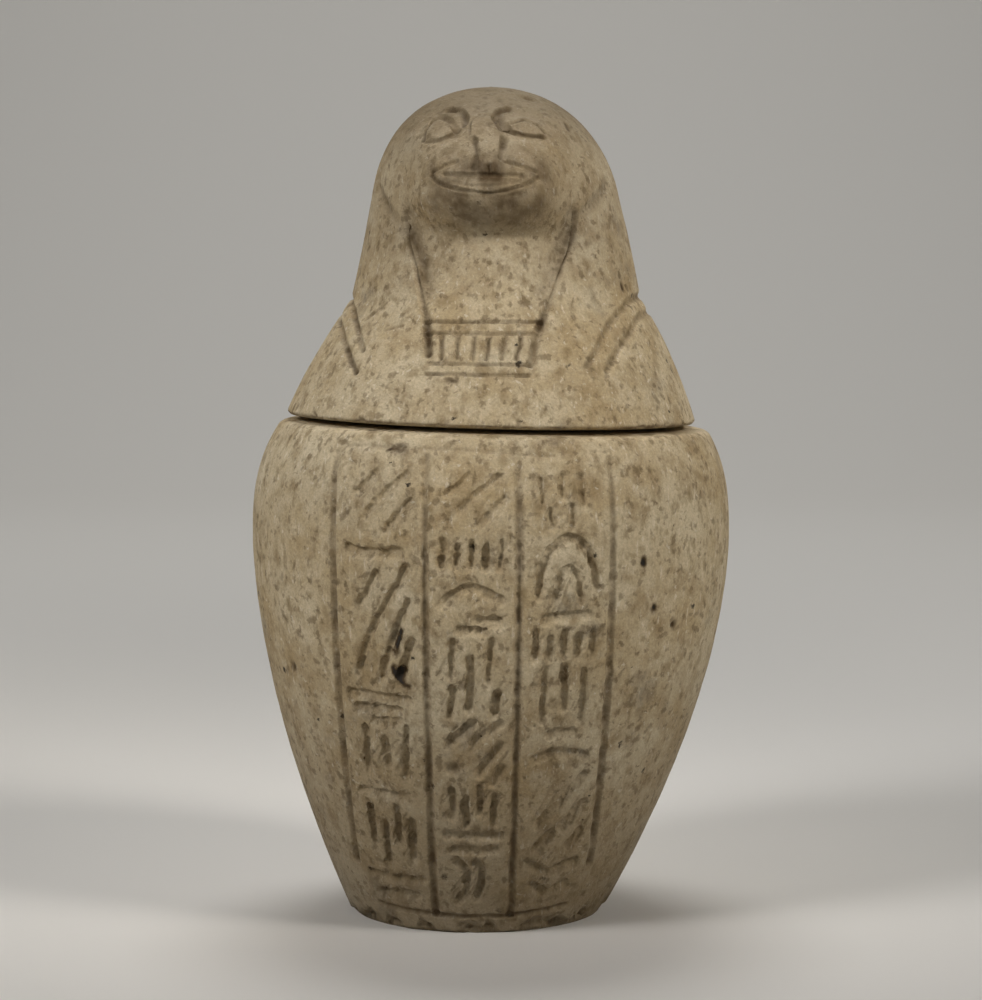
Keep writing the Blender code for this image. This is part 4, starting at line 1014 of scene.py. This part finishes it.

# %% [markdown]
# ## Carving the lid
# The lappets and the wig's hem are the deepest cuts, and the collar and the face the finest. Three families
# have no depth worth the name and only leave colour: painted shade on the chest beside the lappets, brown
# dirt and painted shade round the muzzle, and dirt along the lid's lower edge. The dark blots, the long
# scratches on the left and the chip on the crown are single marks in their own places.

# %% The carved lid
KEPT_OF_LID = 0.70
# Painted shade on the chest beside each lappet, as colour only with no depth
lappet_shade = [line[3:] + [side * 0.045, 0.0] for line, side in zip(lappets, (1.0, -1.0))]
# Brown dirt and painted shade over the muzzle and down towards the chin, as colour only with no depth
muzzle_shade = [on_face([-0.34, -0.05, 0.26], [up, up - 0.04, up]) for up in (0.20, -0.06)]
blots = [on_face([0.585, 0.605], [0.63, 0.585])]
blots += [on_lid([59.5, 59.8], [1.14, 1.10]), on_lid([-13.5, -11.0], [0.385, 0.38])]
scratches = [on_lid([-53.4, -45.0], [0.83, 0.98]), on_lid([-40.7, -33.6], [0.76, 0.80])]
round_edge = [(angle, 0.0004) for angle in np.linspace(-math.pi, math.pi, 90)]
edge_chips = chips(46, [0.0, 0.0010], 0.0022, 14)
crown_chip = on_face([0.27, 0.31], [0.885, 0.870])
LID_CUTS = [
    ("lappets", lappets, 2.2, 1.6, 1.2, 0.90),
    ("lappet_dirt", lappet_shade, 5.8, 0.0, 3.0, 0.58),
    ("left_hems", hems[1::2], 1.9, 1.4, 1.2, 0.80),
    ("right_hems", hems[0::2], 2.0, 0.9, 1.2, 0.45),
    ("collar", collar, 1.0, 0.9, 1.2, 0.60),
    ("pendants", pendants, 1.1, 1.3, 1.8, 0.75),
    ("mane", mane, 3.4, 1.0, 2.0, 0.40),
    ("face_lines", face_lines, 1.1, 1.1, 1.0, 0.80),
    ("deep_lines", deep_lines, 2.1, 1.4, 1.2, 0.58),
    ("faint_lines", faint_lines, 0.9, 0.5, 0.8, 0.45),
    ("muzzle_dirt", muzzle_shade, 16.0, 0.0, 4.0, 0.70),
    ("blots", blots, 1.8, 0.4, 2.0, 1.3),
    ("scratches", scratches, 0.8, 0.4, 0.3, 0.3),
    ("edge_dirt", [round_edge], 1.6, 0.2, 1.6, 0.6),
    ("edge_chips", edge_chips, 1.2, 0.6, 1.2, 0.6),
    ("crown_chip", [crown_chip], 3.0, 1.4, 1.4, 0.1),
]
carve_all(lid_blank, lid_surface, lid_stone, LID_CUTS)
weathering = {"pits": 3000.0, "pit_radius": 0.0010, "pit_depth": 0.0007, "swell": 0.0006}
use_tree(lid_blank, weather, seed=8, material=lid_stone, **weathering)
lid = to_plain_mesh(lid_blank, "lid_stone", KEPT_OF_LID)
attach(lid, "root")
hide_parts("lid")
for guide in guides:
    bpy.data.objects.remove(guide)

# %% [markdown]
# ## The studio
# A plain pale floor that sweeps up behind the jar. The photograph's light is strongest on the lid and the
# shoulder and fades towards the foot, so two soft lamps with a narrow beam stand high at either side and
# aim there. A weak lamp by the camera lifts the front, and one more lights the backdrop.

# %% Floor and lights
WHITE = "#FFFAF4"
# Lamps: name, place, aim, size in metres, watts, beam in degrees, colour
LAMPS = [
    ("left_lamp", (-0.80, -0.62, 0.86), (0.0, 0.0, 0.207), 0.50, 0.535, 40.0, "#FCFAFA"),
    ("right_lamp", (0.82, -0.54, 0.88), (0.0, 0.0, 0.262), 0.50, 0.43, 31.0, WHITE),
    ("front_lamp", (0.10, -1.30, 0.30), (0.0, 0.0, 0.24), 0.60, 0.10, 46.0, WHITE),
    ("backdrop_lamp", (0.0, 0.9, 2.4), (0.0, 1.6, 0.0), 1.2, 30.0, 180.0, "#FFFFFF"),
]


def soft_lamp(name, place, aim, size, power, beam, colour):
    """A round lamp at a place, turned towards its aim."""
    data = bpy.data.lights.new(name, "AREA")
    data.shape, data.size, data.energy = "DISK", size, power
    data.spread = math.radians(beam)
    data.color = linear(colour)[:3]
    lamp = add_object(name, data)
    lamp.location = place
    lamp.rotation_euler = (Vector(aim) - Vector(place)).to_track_quat("-Z", "Y").to_euler()


# The floor's section from front to back: flat, then a quarter turn up into the backdrop
sweep = [(-4.0, 0.0), (1.8, 0.0)]
sweep += [(1.8 + 0.8 * math.sin(t), 0.8 - 0.8 * math.cos(t)) for t in np.linspace(0.1, math.pi / 2, 12)]
sweep.append((2.6, 4.0))
corners = [(x, y, z) for y, z in sweep for x in (-5.0, 5.0)]
faces = [(2 * k, 2 * k + 1, 2 * k + 3, 2 * k + 2) for k in range(len(sweep) - 1)]
floor_mesh = bpy.data.meshes.new("floor")
floor_mesh.from_pydata(corners, [], faces)
floor_mesh.shade_smooth()
floor = add_object("floor", floor_mesh)
paper = bpy.data.materials.new("backdrop_paper")
paper.use_nodes = True
paper.node_tree.nodes["Principled BSDF"].inputs["Base Color"].default_value = linear("#DEDBD5")
paper.node_tree.nodes["Principled BSDF"].inputs["Roughness"].default_value = 0.9
floor_mesh.materials.append(paper)

for lamp in LAMPS:
    soft_lamp(*lamp)
world = bpy.data.worlds.new("studio")
world.use_nodes = True
world.node_tree.nodes["Background"].inputs["Color"].default_value = linear("#D8DADC")
world.node_tree.nodes["Background"].inputs["Strength"].default_value = 0.08
bpy.context.scene.world = world
bpy.context.scene.view_settings.view_transform = "Standard"
print(len(LAMPS), "lamps light a floor of", len(faces), "faces")
